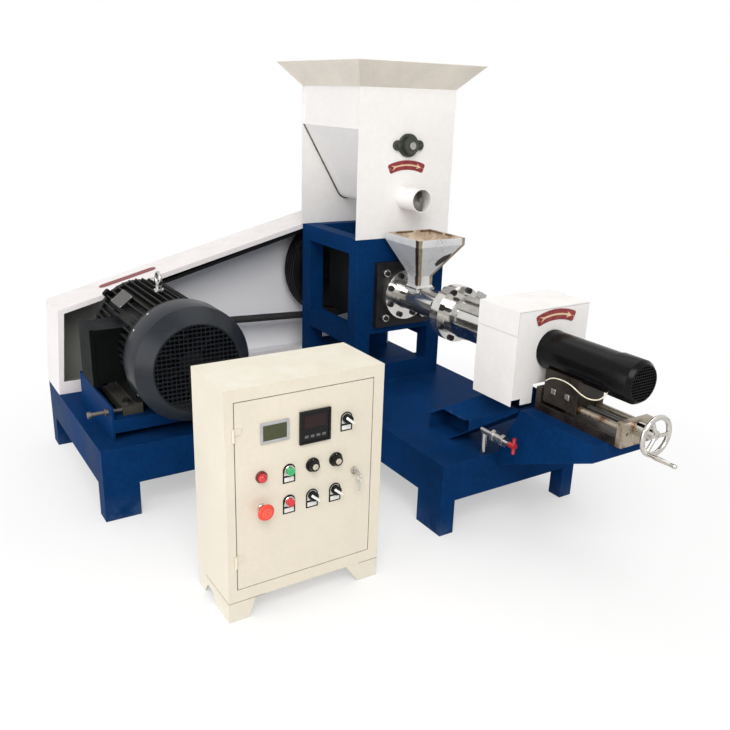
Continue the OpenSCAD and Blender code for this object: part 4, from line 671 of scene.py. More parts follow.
def smooth_path(points, per_span):
    """A smooth line through points, so that a wire has no corners."""
    out = []
    for i in range(len(points) - 1):
        p0, p1, p2, p3 = (Vector(points[min(max(k, 0), len(points) - 1)]) for k in range(i - 1, i + 3))
        for s in range(per_span):
            t = s / per_span
            out.append(
                0.5 * (2 * p1 + (p2 - p0) * t + (2 * p0 - 5 * p1 + 4 * p2 - p3) * t * t
                       + (3 * p1 - p0 - 3 * p2 + p3) * t * t * t)
            )
    out.append(Vector(points[-1]))
    return out


# ---------------------------------------------------------------- geometry nodes


def named_vector(tree, name):
    return put(tree, "GeometryNodeInputNamedAttribute", {"Name": name}, data_type="FLOAT_VECTOR").outputs["Attribute"]


def moved(tree, mesh, **values):
    return put(tree, "GeometryNodeTransform", {"Geometry": mesh, **values}).outputs["Geometry"]


def on_points(tree, start, values):
    """Instances on the points of the tree's mesh."""
    points = put(tree, "GeometryNodeMeshToPoints", {"Mesh": start["Geometry"]}).outputs["Points"]
    return put(tree, "GeometryNodeInstanceOnPoints", {"Points": points, **values}).outputs["Instances"]


def close_tree(tree, start, end, shape, smooth):
    """Makes the instances real and gives them the tree's finish."""
    real = put(tree, "GeometryNodeRealizeInstances", {"Geometry": shape}).outputs[0]
    if smooth:
        real = put(tree, "GeometryNodeSetShadeSmooth", {"Geometry": real}).outputs[0]
    done = put(tree, "GeometryNodeSetMaterial", {"Geometry": real, "Material": start["Finish"]}).outputs[0]
    tree.links.new(done, end["Geometry"])
    return tree


def heads_tree():
    """Domed heads of rivets or screws on the points of a mesh, facing along its normals."""
    tree, start, end = new_tree(
        "domed_heads", "GeometryNodeTree", {"Radius": 0.004, "Height Share": 0.5, "Finish": None}, {}
    )
    facing = {"Vector": named_vector(tree, "facing")}
    turn = put(tree, "FunctionNodeAlignRotationToVector", facing, axis="Z").outputs["Rotation"]
    ball = put(tree, "GeometryNodeMeshUVSphere", {"Segments": 16, "Rings": 8, "Radius": start["Radius"]})
    flat = put(tree, "ShaderNodeCombineXYZ", {"X": 1.0, "Y": 1.0, "Z": start["Height Share"]}).outputs[0]
    heads = on_points(tree, start, {"Instance": ball.outputs["Mesh"], "Rotation": turn, "Scale": flat})
    return close_tree(tree, start, end, heads, True)


def bead_tree():
    """A weld bead along the edges of a mesh: a round section whose size ripples."""
    inputs = {"Radius": 0.003, "Ripple": 0.004, "Spread": 0.3, "Seed": 3, "Finish": None}
    tree, start, end = new_tree("weld_bead", "GeometryNodeTree", inputs, {})
    line = put(tree, "GeometryNodeMeshToCurve", {"Mesh": start["Geometry"]}).outputs["Curve"]
    even = put(tree, "GeometryNodeResampleCurve", {"Curve": line, "Length": start["Ripple"]}, mode="LENGTH")
    low, high = (calc(tree, sign, 1.0, start["Spread"]) for sign in ("SUBTRACT", "ADD"))
    size = put(tree, "FunctionNodeRandomValue", {"Seed": start["Seed"], 2: low, 3: high}, data_type="FLOAT").outputs[1]
    ring = put(tree, "GeometryNodeCurvePrimitiveCircle", {"Resolution": 8, "Radius": 1.0}, mode="RADIUS")
    bead = put(tree, "GeometryNodeCurveToMesh", {
        "Curve": even.outputs["Curve"], "Profile Curve": ring.outputs["Curve"],
        "Scale": calc(tree, "MULTIPLY", size, start["Radius"]), "Fill Caps": True,
    })
    return close_tree(tree, start, end, bead.outputs["Mesh"], True)


def bars_tree():
    """Square bars centred on the points of a mesh, each as long, deep and high as its point says."""
    tree, start, end = new_tree("square_bars", "GeometryNodeTree", {"Thickness Share": 1.0, "Finish": None}, {})
    thick = put(tree, "ShaderNodeCombineXYZ", {"X": start["Thickness Share"], "Y": 1.0, "Z": 1.0}).outputs[0]
    both = {0: named_vector(tree, "size"), 1: thick}
    scale = put(tree, "ShaderNodeVectorMath", both, operation="MULTIPLY").outputs[0]
    cube = put(tree, "GeometryNodeMeshCube", {"Size": (1.0, 1.0, 1.0)}).outputs["Mesh"]
    return close_tree(tree, start, end, on_points(tree, start, {"Instance": cube, "Scale": scale}), False)


def links_tree():
    """Roller chain links on the points of a mesh: two plates and a roller each, turned along the chain."""
    tree, start, end = new_tree(
        "chain_links", "GeometryNodeTree", {"Pitch": 0.0127, "Width": 0.014, "Plate Height": 0.0095, "Finish": None}, {}
    )
    pitch, width, height = (start[key] for key in ("Pitch", "Width", "Plate Height"))
    along = {"Vector": named_vector(tree, "facing")}
    first = put(tree, "FunctionNodeAlignRotationToVector", along, axis="X").outputs["Rotation"]
    level = {"Rotation": first, "Vector": (1.0, 0.0, 0.0)}
    turn = put(tree, "FunctionNodeAlignRotationToVector", level, axis="Y", pivot_axis="X").outputs["Rotation"]
    sides = {"X": calc(tree, "MULTIPLY", pitch, 1.5), "Y": calc(tree, "MULTIPLY", width, 0.14), "Z": height}
    plate = put(tree, "GeometryNodeMeshCube", {"Size": put(tree, "ShaderNodeCombineXYZ", sides).outputs[0]})
    parts = []
    for side in (-0.42, 0.42):
        aside = put(tree, "ShaderNodeCombineXYZ", {"X": 0.0, "Y": calc(tree, "MULTIPLY", width, side), "Z": 0.0})
        parts.append(moved(tree, plate.outputs["Mesh"], Translation=aside.outputs[0]))
    roller = put(tree, "GeometryNodeMeshCylinder", {
        "Vertices": 12, "Radius": calc(tree, "MULTIPLY", height, 0.42), "Depth": calc(tree, "MULTIPLY", width, 0.95),
    })
    parts.append(moved(tree, roller.outputs["Mesh"], Rotation=(math.pi / 2, 0.0, 0.0)))
    link = put(tree, "GeometryNodeJoinGeometry", {})
    for part in parts:
        tree.links.new(part, link.inputs[0])
    links = on_points(tree, start, {"Instance": link.outputs[0], "Rotation": turn})
    return close_tree(tree, start, end, links, False)


TREES = {"heads": heads_tree(), "beads": bead_tree(), "bars": bars_tree(), "links": links_tree()}


def grown(name, mesh, key, values, body):
    """Runs a tree on a mesh of points or edges, keeps the plain result, and lets it ride."""
    seed = show(bpy.data.objects.new(name + "_seed", mesh))
    mod = seed.modifiers.new(key, "NODES")
    mod.node_group = TREES[key]
    for socket in TREES[key].interface.items_tree:
        if socket.in_out == "INPUT" and socket.name in values:
            mod[socket.identifier] = values[socket.name]
    graph = bpy.context.evaluated_depsgraph_get()
    result = bpy.data.meshes.new_from_object(seed.evaluated_get(graph), depsgraph=graph)
    seed.modifiers.remove(mod)
    bpy.data.objects.remove(seed)
    if not result.polygons:
        raise RuntimeError(name + " came out empty")
    result.name = name
    item = show(bpy.data.objects.new(name, result))
    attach(item, body)
    return item


def point_mesh(name, places, attribute, vectors):
    """Points in metres, with a vector on each."""
    mesh = bpy.data.meshes.new(name)
    mesh.from_pydata(places, [], [])
    spread = mesh.attributes.new(attribute, "FLOAT_VECTOR", "POINT")
    for row, vector in zip(spread.data, vectors):
        row.vector = vector
    return mesh


def rivets(name, places, facing, radius, label, body, share=0.5):
    """Domed heads at places in the drawing, all facing one way."""
    mesh = point_mesh(name, [at(*p) for p in places], "facing", [facing] * len(places))
    grown(name, mesh, "heads", {"Radius": radius / 1000, "Height Share": share, "Finish": finish(label)}, body)


def bars(name, places, sizes_mm, label, body):
    """Bars at places in the drawing with their sizes in mm."""
    mesh = point_mesh(name, [at(*p) for p in places], "size", [[c / 1000 for c in size] for size in sizes_mm])
    grown(name, mesh, "bars", {"Thickness Share": 1.0, "Finish": finish(label)}, body)


def welds(name, lines, label, radius, seed):
    """Weld beads along lines given as lists of drawing points."""
    verts, edges = [], []
    for line in lines:
        for i, p in enumerate(line):
            if i:
                edges.append((len(verts) - 1, len(verts)))
            verts.append(at(*p))
    mesh = bpy.data.meshes.new(name)
    mesh.from_pydata(verts, edges, [])
    values = {"Radius": radius / 1000, "Ripple": 0.005, "Spread": 0.22, "Seed": seed, "Finish": finish(label)}
    grown(name, mesh, "beads", values, "machine")


# ---------------------------------------------------------------- settings


def paint_setting(name, description, rgb):
    return FloatVectorProperty(
        name=name, description=description, subtype="COLOR", size=3, default=[c / 255 for c in rgb]
    )


def length_setting(name, description, metres):
    return FloatProperty(name=name, description=description, unit="LENGTH", default=metres)


class ExtruderPaint(bpy.types.PropertyGroup):
    """Colours of the painted pieces."""

    frame_blue: paint_setting("Frame blue", "Paint of the tables and the tower", (9, 48, 94))
    bin_white: paint_setting("Bin white", "Paint of the bin, the guard and the cutter cover", (237, 235, 233))
    cabinet_ivory: paint_setting("Cabinet ivory", "Paint of the control cabinet", (216, 208, 191))
    motor_black: paint_setting("Motor black", "Paint of both motors", (19, 20, 21))
    plate_red: paint_setting("Plate red", "Ground of the arrow plates", (140, 32, 36))


class ExtruderSizes(bpy.types.PropertyGroup):
    """Sizes of the fine pieces."""

    plate_radius: length_setting("Arrow radius", "Radius that the arrow plates are bent round", 0.21)
    plate_width: length_setting("Arrow plate width", "Width of an arrow plate's band", 0.036)
    wire_width: length_setting("Wire width", "Diameter of the cutter motor's wire", 0.004)
    bead_radius: length_setting("Weld bead", "Radius of the weld beads", 0.003)
    bead_seed: IntProperty(name="Bead seed", description="Seed of the beads' ripple", default=3)
    lamp_power: FloatProperty(name="Lamp power", description="Power of the key lamp", unit="POWER", default=170.0)


def sizes():
    return bpy.context.scene.extruder_sizes


# ---------------------------------------------------------------- finishes of the CAD nodes


class PaintFrame(bpy.types.Operator):
    """Blue paint on the tables, the tower, the bracket and the rails"""

    bl_idname = "extruder.paint_frame"
    bl_label = "Paint the frame"

    def execute(self, context):
        dress({"frame_blue": [
            "main_frame", "motor_base", "tower_frame", "slide_bracket", "motor_rail", "discharge_chute",
        ]})
        return {"FINISHED"}


class PaintBin(bpy.types.Operator):
    """White sheet metal of the bin, the guard and the covers, and what hangs on the bin"""

    bl_idname = "extruder.paint_bin"
    bl_label = "Paint the bin and the covers"

    def execute(self, context):
        dress({
            "guard_white": ["belt_guard"],
            "bin_white": ["bin_body", "auger_tube", "cutter_cover", "cutter_lid"],
            "rim_white": ["bin_rim"],
            "cast_iron": ["flange_bearing"],
            "dusty_stainless": ["inlet_hopper"],
            "machined_steel": ["agitator"],
            "worn_steel": ["feed_auger"],
            "blackened_steel": ["feed_chain"],
            "motor_black": ["feed_gearmotor"],
        })
        return {"FINISHED"}


class FinishScrewLine(bpy.types.Operator):
    """Polished barrels, the screw, the die and the black bearing plate"""

    bl_idname = "extruder.finish_screw_line"
    bl_label = "Finish the screw line"

    def execute(self, context):
        dress({
            "polished_steel": ["feed_barrel", "compression_barrel"],
            "machined_steel": ["extruder_screw", "main_shaft", "barrel_clamps", "die_plate"],
            "blackened_steel": ["bearing_plate", "barrel_bolts"],
            "motor_black": ["bearing_housing"],
        })
        return {"FINISHED"}


class FinishDrive(bpy.types.Operator):
    """Main motor, pulleys and belts"""

    bl_idname = "extruder.finish_drive"
    bl_label = "Finish the drive"

    def execute(self, context):
        dress({
            "motor_black": ["motor_body"],
            "box_black": ["motor_terminal_box"],
            "cowl_black": ["motor_cowl"],
            "machined_steel": ["motor_eye_bolt"],
            "worn_steel": ["tension_bolts"],
            "blackened_steel": ["main_pulley", "motor_pulley", "motor_rotor"],
            "belt_rubber": ["drive_belts"],
        })
        return {"FINISHED"}


class FinishCutter(bpy.types.Operator):
    """Cutter motor, its slide, the handwheel and the drain valve"""

    bl_idname = "extruder.finish_cutter"
    bl_label = "Finish the cutter"

    def execute(self, context):
        dress({
            "cutter_black": ["cutter_motor", "cutter_cowl"],
            "oily_casting": ["slide_base", "slide_saddle"],
            "chrome": ["handwheel", "crank_handle"],
            "machined_steel": ["cutter_rotor", "drain_valve"],
            "worn_steel": ["lead_screw"],
            "handle_red": ["valve_handle"],
        })
        return {"FINISHED"}


class PaintCabinet(bpy.types.Operator):
    """Ivory textured paint of the control cabinet"""

    bl_idname = "extruder.paint_cabinet"
    bl_label = "Paint the cabinet"

    def execute(self, context):
        dress({"cabinet_ivory": ["cabinet_body", "cabinet_feet", "cabinet_door"], "chrome": ["door_lock"]})
        return {"FINISHED"}


# ---------------------------------------------------------------- pieces of the machine


class MakeCutterWire(bpy.types.Operator):
    """Cream wire along the cutter motor"""

    bl_idname = "extruder.make_cutter_wire"
    bl_label = "Make the cutter wire"

    def execute(self, context):
        route = smooth_path([at(*p) for p in WIRE_ROUTE], 4)
        bm = bmesh.new()
        add_tube(bm, route, sizes().wire_width / 2, 12)
        item = piece("cutter_wire_run", bm, "wire_cream", "carriage")
        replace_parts(item, "cutter_wire")
        return {"FINISHED"}


def bent(polar, radius):
    """Outline from (radius, angle) pairs, with the arc's top at the plate's middle."""
    return [(r * math.sin(a), r * math.cos(a) - radius) for r, a in polar]


def arc_band(radius, width, half):
    """Outline of a bent band with cut corners, in mm."""
    steps, corner = 22, 5.0
    inner, outer = radius - width / 2, radius + width / 2
    cut = corner / radius
    sweep = [(2 * half - 2 * cut) * i / steps for i in range(steps + 1)]
    out = [(outer - corner, -half)] + [(outer, -half + cut + a) for a in sweep] + [(outer - corner, half)]
    out += [(inner + corner, half)] + [(inner, half - cut - a) for a in sweep] + [(inner + corner, -half)]
    return bent(out, radius)


def arc_arrow(radius, half):
    """Outline of a bent arrow with a split tail, in mm."""
    thick, head, steps = 6.0, 20.0, 18
    tip, neck, tail = half * 0.84, half * 0.56, -half * 0.84
    shaft_end, barb = tail * 0.72, neck + 0.02
    t = thick / 2
    out = [(radius, tip), (radius + head / 2, neck), (radius + t, barb)]
    out += [(radius + t, neck + (shaft_end - neck) * i / steps) for i in range(steps + 1)]
    out += [(radius + t * 3.4, tail), (radius, tail * 0.84), (radius - t * 3.4, tail)]
    out += [(radius - t, shaft_end + (neck - shaft_end) * i / steps) for i in range(steps + 1)]
    out += [(radius - t, barb), (radius - head / 2, neck)]
    return bent(out, radius)


def make_guard_strip():
    """A flat dusty strip with round ends on the guard's slope."""
    half, r, (x, y, z) = 98.0, 21.0, (-565, -949.5, 672.1)
    slope = math.atan(GUARD_SLOPE)
    c, d = math.cos(slope), math.sin(slope)
    turns = [math.pi * k / 12 for k in range(13)]
    out = [(half + r * math.sin(a), r * math.cos(a)) for a in turns]
    out += [(-half - r * math.sin(a), -r * math.cos(a)) for a in turns]
    bm = bmesh.new()
    add_plate(bm, out, 1.5, lambda u, v, w: (x + v, y + c * u - d * (w + 0.3), z + d * u + c * (w + 0.3)))
    piece("guard_strip", bm, "strip_red", "machine")


class MakeArrowPlates(bpy.types.Operator):
    """Bent red plates with a pale arrow on the bin and the cutter cover, and a red strip on the guard"""

    bl_idname = "extruder.make_arrow_plates"
    bl_label = "Make the arrow plates"

    def execute(self, context):
        radius, width = sizes().plate_radius * 1000, sizes().plate_width * 1000
        half = math.radians(23)
        for name, face, y0, z0, body in (
            ("bin_arrow_plate", 0.0, 0.0, 1146.0, "machine"),
            ("cover_arrow_plate", 856.0, 6.0, 756.0, "carriage"),
        ):
            bm = bmesh.new()
            add_plate(bm, arc_band(radius, width, half), 1.2, lambda u, v, w: (face + w + 0.2, y0 + u, z0 + v))
            add_plate(bm, arc_arrow(radius, half), 0.5, lambda u, v, w: (face + 1.3 + w, y0 + u, z0 + v), material=1)
            piece(name, bm, "plate_red plate_gold", body)
            ends = [
                (face + 1.6, y0 + radius * math.sin(a), z0 + radius * math.cos(a) - radius)
                for a in (-half * 0.93, half * 0.93)
            ]
            rivets(name + "_rivets", ends, (1, 0, 0), 2.6, "machined_steel", body)
        make_guard_strip()
        return {"FINISHED"}


def make_cowl(node, centre, length, radius, cone, opening, pitch, bar, label, body):
    """A fan cowl: a turned shell with a cone and a rolled edge, and a square mesh of fine bars."""
    x, y, z = centre
    edge, sheet = length - cone, 2.5
    bm = bmesh.new()
    add_lathe(bm, [
        (0, radius - sheet), (0, radius), (edge - 3, radius), (edge + 1, radius - 1.6),
        (length - 3, opening + sheet + 1.6), (length - 0.6, opening + sheet), (length, opening),
        (length, opening - bar), (length - 3, opening - bar), (length - 3, opening), (edge - sheet, radius - sheet),
        (0, radius - sheet),
    ], centre, sides=96)
    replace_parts(piece(node + "_shell", bm, label, body), node)
    places, sizes_mm = [], []
    count = int((opening - bar) / pitch)
    for i in range(-count, count + 1):
        half = math.sqrt(max((opening - bar * 0.5) ** 2 - (i * pitch) ** 2, 1.0))
        places += [(x + length - 1.4, y, z + i * pitch), (x + length - 2.6, y + i * pitch, z)]
        sizes_mm += [(2.0, half * 2, bar), (1.6, bar * 0.7, half * 2)]
    bars(node + "_mesh", places, sizes_mm, label, body)


class MakeCowls(bpy.types.Operator):
    """Fan cowls of both motors with their fine mesh"""

    bl_idname = "extruder.make_cowls"
    bl_label = "Make the fan cowls"

    def execute(self, context):
        make_cowl("motor_cowl", (89.0, MOTOR_Y, MOTOR_Z), length=150.0, radius=199.0, cone=42.0, opening=149.0,
                  pitch=15.0, bar=3.4, label="cowl_black", body="machine")
        make_cowl("cutter_cowl", (1132.0, 0.0, SCREW_Z), length=92.0, radius=68.0, cone=13.0, opening=55.0,
                  pitch=9.0, bar=2.4, label="cutter_black", body="carriage")
        return {"FINISHED"}


def round_motor(degrees):
    """Gives place(x, u, v) at an angle about the main motor's axis: v out from it, u across."""
    c, d = math.cos(math.radians(degrees)), math.sin(math.radians(degrees))
    return lambda x, u, v: (x, MOTOR_Y + c * v - d * u, MOTOR_Z + d * v + c * u)


def make_nameplate():
    """A blank plate on the fins, on the side towards the terminal box."""
    out_y, out_z, fins_r, middle_x = -0.61, 0.793, 178.6, -217

    def on_fins(u, v, w):
        r = fins_r + w
        return (middle_x + u, MOTOR_Y + out_y * r + out_z * v, MOTOR_Z + out_z * r - out_y * v)

    outline = [(-60, -28), (-57, -31), (57, -31), (60, -28), (60, 28), (57, 31), (-57, 31), (-60, 28)]
    bm = bmesh.new()
    add_plate(bm, outline, 1.6, on_fins)
    piece("motor_nameplate", bm, "nameplate_grey", "machine", bevel=0.0004)
    corners = [on_fins(u, v, 1.7) for u in (-54, 54) for v in (-25, 25)]
    rivets("motor_nameplate_rivets", corners, (0, out_y, out_z), 2.4, "machined_steel", "machine")


class MakeMotorPieces(bpy.types.Operator):
    """Blank nameplate, fins by the terminal box, lug and cowl screws of the main motor"""

    bl_idname = "extruder.make_motor_pieces"
    bl_label = "Make the motor's small pieces"

    def execute(self, context):
        make_nameplate()
        # Fins between the drive end's shield and the terminal box
        x0, x1, root, tip, thick, count = -361.0, -204.5, 151.0, 178.0, 5.0, 44
        bm = bmesh.new()
        for i in range(count):
            degrees = (i + 0.5) * 360 / count
            if abs(degrees - 180) < 46:
                place = round_motor(degrees)
                add_plate(bm, [(x0, root), (x1, root), (x1, tip), (x0, tip)], thick,
                          lambda u, v, w: place(u, w - thick / 2, v))
        piece("motor_rear_fins", bm, "motor_black", "machine", smooth=False)
        # Lug of a lead clip at the drive end
        place = round_motor(133)
        bm = bmesh.new()
        add_plate(bm, [(-15, 158), (15, 158), (15, 180), (11, 186), (-11, 186), (-15, 180)], 27.0,
                  lambda u, v, w: place(-388 + w, u, v))
        piece("motor_clip_lug", bm, "box_black", "machine", bevel=0.002)
        # Screws round the rear band of the cowl
        for k, degrees in enumerate((35, 125, 145, 215, 325)):
            a = math.radians(degrees)
            facing = (0, math.cos(a), math.sin(a))
            rivets(f"cowl_screw_{k + 1}", [(97, MOTOR_Y + 198.6 * facing[1], MOTOR_Z + 198.6 * facing[2])], facing, 5.0,
                   "machined_steel", "machine", 0.45)
        return {"FINISHED"}


class MakePlateBolts(bpy.types.Operator):
    """Bright socket heads on the bearing plate and the saddle's square nuts"""

    bl_idname = "extruder.make_plate_bolts"
    bl_label = "Make the plate's bolts"

    def execute(self, context):
        face, off = 25.0, 92.0
        bm = bmesh.new()
        for y in (-off, off):
            for z in (SCREW_Z - off, SCREW_Z + off):
                add_lathe(bm, [(-0.5, 0), (-0.5, 15.6), (11, 15.6), (12.6, 14.2), (12.6, 8.6), (5, 8.6), (5, 0)],
                          (face, y, z), sides=36)
        piece("plate_socket_heads", bm, "machined_steel", "machine")
        bm = bmesh.new()
        for x in (947.67, 1006.0):
            add_block(bm, (x - 9.4, -68.6, 525.3), (x + 9.4, -59.8, 544.1))
        piece("saddle_square_nuts", bm, "machined_steel", "carriage", bevel=0.0015)
        return {"FINISHED"}


def chain_route(z_big, z_small, big, small):
    """The chain's closed line over the large sprocket, down one side, under the small one and up again."""
    lean = math.asin((big - small) / (z_big - z_small))
    route = []
    for z, r, first, sweep in (
        (z_big, big, -lean, math.pi + 2 * lean), (z_small, small, math.pi + lean, math.pi - 2 * lean),
    ):
        turns = [first + sweep * k / 48 for k in range(49)]
        route += [Vector((r * math.cos(a), z + r * math.sin(a))) for a in turns]
    return route + route[:1]


class MakeChain(bpy.types.Operator):
    """Roller chain between the sprockets behind the bin"""

    bl_idname = "extruder.make_chain"
    bl_label = "Make the chain"

    def execute(self, context):
        x, pitch = -566.5, 12.7
        route = chain_route(1220.0, AUGER_Z, 66.4, 44.4)
        total = sum((b - a).length for a, b in zip(route, route[1:]))
        count = round(total / pitch / 2) * 2
        step, places, aims = total / count, [], []
        left, i = 0.0, 0
        for _ in range(count):
            while left > (route[i + 1] - route[i]).length:
                left -= (route[i + 1] - route[i]).length
                i += 1
            ahead = (route[i + 1] - route[i]).normalized()
            spot = route[i] + ahead * left
            places.append(at(x, spot.x, spot.y))
            aims.append((0.0, ahead.x, ahead.y))
            left += step
        values = {"Pitch": step / 1000, "Width": 0.0155, "Plate Height": 0.0092, "Finish": finish("blackened_steel")}
        item = grown("feed_chain_links", point_mesh("chain_points", places, "facing", aims), "links", values, "machine")
        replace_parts(item, "feed_chain")
        return {"FINISHED"}


def ring_corners(ring):
    """The corners of a square ring, given by its middle along x, its half sizes and its height."""
    cx, hx, hy, z = ring
    return [(cx - hx, -hy, z), (cx + hx, -hy, z), (cx + hx, hy, z), (cx - hx, hy, z)]


class MakeHopper(bpy.types.Operator):
    """Inlet hopper of bent sheets, with strips down its corners that carry painted shade, a painted shadow on its front
    slope, welds and a foot
    """

    bl_idname = "extruder.make_hopper"
    bl_label = "Make the inlet hopper"

    def execute(self, context):
        outer = [(144, 110, 108, 897), (144, 110, 108, 870), (127, 34, 34, 738), (127, 34, 34, 702), (127, 41, 41, 688),
                 (127, 41, 41, 668)]
        inner = [(127, 38, 38, 668), (127, 31, 31, 702), (127, 31, 31, 739), (144, 107.5, 105.5, 871),
                 (144, 107.5, 105.5, 897)]
        bm = bmesh.new()
        rings = [[bm.verts.new(at(*c)) for c in ring_corners(ring)] for ring in outer + inner]
        span_rings(bm, rings + rings[:1])
        item = piece("hopper_sheets", bm, "dusty_stainless", "machine", smooth=False, bevel=0.0008)
        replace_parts(item, "inlet_hopper")
        bm = bmesh.new()
        # Strips down the corners: the dark ones are painted shade with the corner's seam, the tan ones are the seam
        for one, two in zip(outer[:3], outer[1:4]):
            a, b = ring_corners(one)[1], ring_corners(two)[1]
            for (dx, dy), away, m in (((-20, 0), (0, -1, 0), 0), ((0, 17), (1, 0, 0), 1)):
                strip = [a, (a[0] + dx, a[1] + dy, a[2]), (b[0] + dx * 0.8, b[1] + dy * 0.8, b[2]), b]
                add_slab(bm, strip, 1.0, away, m)
            a, b = ring_corners(one)[2], ring_corners(two)[2]
            add_slab(bm, [a, (a[0], a[1] - 14, a[2]), (b[0], b[1] - 11, b[2]), b], 1.0, (1, 0, 0), 1)
        # Painted shadow of the opening: a dark crescent on the front slope
        mark = [(229.6, 69.2, 835.4), (222, 35.4, 824.6), (210.1, 17.1, 807.6), (199.5, 14.7, 792.6),
                (191.5, 24, 781), (193.6, 33, 784.3), (199.7, 43.9, 793), (210.8, 63.8, 808.7)]
        middle = [sum(p[i] for p in mark) / len(mark) for i in range(3)]
        for one, two in zip(mark, mark[1:] + mark[:1]):
            add_slab(bm, [one, two, middle], 0.6, (1, 0, 0), 0)
        piece("hopper_corner_strips", bm, "seam_brown seam_tan", "machine", smooth=False)
        welds("hopper_crumbs", [[(38, -60, 893), (38, 20, 893)], [(38, 56, 892), (38, 101, 892), (118, 101, 892)],
                                [(142, 101, 893), (180, 101, 893)]], "meal_crumbs", 3.4, sizes().bead_seed + 1)
        foot = ring_corners((127, 41.5, 41.5, 690))
        welds("hopper_welds", [foot + foot[:1]], "worn_steel", 2.4, sizes().bead_seed)
        rivets("hopper_bolts", [(84, -44, 689), (170, -44, 689)], (0, 0, 1), 6.0, "machined_steel", "machine", 0.7)
        return {"FINISHED"}


class MakeBinSeam(bpy.types.Operator):
    """Dark sealed seam where the bin's slope and trough meet its back plate"""

    bl_idname = "extruder.make_bin_seam"
    bl_label = "Make the bin's seam"

    def execute(self, context):
        x, knee_y, knee_z, trough_r, r = -441.0, 216.0, 1278.0, 52.0, 54.0
        rise = knee_z - AUGER_Z
        lean = math.atan2(rise, knee_y) - math.acos(trough_r / math.hypot(knee_y, rise))
        turns = [lean - (math.pi / 2 + lean) * k / 8 for k in range(9)]
        lines = [
            [(x, side * knee_y, knee_z)] + [(x, side * r * math.cos(a), AUGER_Z + r * math.sin(a)) for a in turns]
            for side in (-1, 1)
        ]
        welds("bin_back_seam", lines, "seam_seal", 3.2, sizes().bead_seed)
        return {"FINISHED"}


class MakeWelds(bpy.types.Operator):
    """Weld beads where the frame's pieces meet"""

    bl_idname = "extruder.make_welds"
    bl_label = "Make the weld beads"

    def execute(self, context):
        low, high = ([c * 1000 + o for c, o in zip(corner, ORIGIN)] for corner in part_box("tower_frame"))
        corners = [(high[0], high[1]), (high[0], low[1]), (low[0], low[1])]
        front, near = [[(x, y, low[2]) for x, y in (corners[i + 1], corners[i])] for i in range(2)]
        welds("tower_welds", [front, near], "frame_blue", sizes().bead_radius * 1000, sizes().bead_seed)
        return {"FINISHED"}


# ---------------------------------------------------------------- pieces of the cabinet


class MakeCabinetSeams(bpy.types.Operator):
    """Seams between the cabinet's body and its sheet feet, and the door's seal"""

    bl_idname = "extruder.make_cabinet_seams"
    bl_label = "Make the cabinet's seams"

    def execute(self, context):
        z0, z1 = 59.4, 60.9
        bm = bmesh.new()
        add_block(bm, (DOOR_X - 0.5, CABINET_Y[0] - 0.3, z0), (DOOR_X + 0.5, -1019.0, z1))
        add_block(bm, (DOOR_X - 0.5, -711.0, z0), (DOOR_X + 0.5, CABINET_Y[1], z1))
        add_block(bm, (680.0, CABINET_Y[0] - 0.5, z0), (DOOR_X + 0.2, CABINET_Y[0] + 0.5, z1))
        piece("cabinet_foot_seams", bm, "seam_shade", "machine", smooth=False)
        # Seal behind the gap round the door
        gap, seal, edge = 2.5, 2.0, 4.0
        y0, y1, z0, z1 = CABINET_Y[0] + 28 - gap, CABINET_Y[1] - 36 + gap, 100 - gap, 650 + gap
        bm = bmesh.new()
        for low, high in (
            ((y0 - edge, z0 - edge), (y0 + seal, z1 + edge)), ((y1 - seal, z0 - edge), (y1 + edge, z1 + edge)),
            ((y0 + seal, z1 - seal), (y1 - seal, z1 + edge)), ((y0 + seal, z0 - edge), (y1 - seal, z0 + seal)),
        ):
            add_block(bm, (DOOR_X - 6.5, *low), (DOOR_X - 3.2, *high))
        piece("door_seal", bm, "seal_black", "machine", smooth=False)
        return {"FINISHED"}


class MakeFittings(bpy.types.Operator):
    """Rails, ducts, contactors, breakers and terminals on the cabinet's mounting plate"""

    bl_idname = "extruder.make_fittings"
    bl_label = "Make the cabinet's fittings"

    def execute(self, context):
        plate, middle, (top, mid, low) = 659.0, -886.5, (545.0, 395.0, 165.0)
        rails = [(plate + 4, middle, z) for z in (top, mid, low)]
        bars("fitting_rails", rails, [(8, 330, 35)] * 3, "rail_steel", "machine")
        ducts = [(plate + 20, middle, z) for z in (620.0, 470.0, 320.0, 235.0)]
        ducts += [(plate + 20, middle + side * 182, 380.0) for side in (-1, 1)]
        bars("fitting_ducts", ducts, [(40, 330, 28)] * 4 + [(40, 28, 508)] * 2, "duct_grey", "machine")
        places = [(plate + x, y, top) for y in (-1020, -960, -900) for x in (42, 82, 92)]
        bars("fitting_contactors", places, [(68, 45, 74), (14, 43, 44), (6, 14, 18)] * 3, "black_plastic", "machine")
        row = [-1030 + k * 19 for k in range(6)]
        places = [(plate + x, y, mid) for y in row for x in (30, 62)]
        places += [(plate + 45, -810, mid), (plate + 45, -810, top)]
        bars("fitting_breakers", places, [(44, 17.5, 82), (20, 17.2, 45)] * 6 + [(74, 92, 84), (74, 70, 90)],
             "breaker_pale", "machine")
        bars("fitting_levers", [(plate + 76, y, mid + 4) for y in row], [(12, 6, 16)] * 6, "black_plastic", "machine")
        bars("fitting_terminals", [(plate + 28, -1022 + k * 8.2, low) for k in range(24)], [(40, 7.4, 44)] * 24,
             "terminal_beige", "machine")
        return {"FINISHED"}


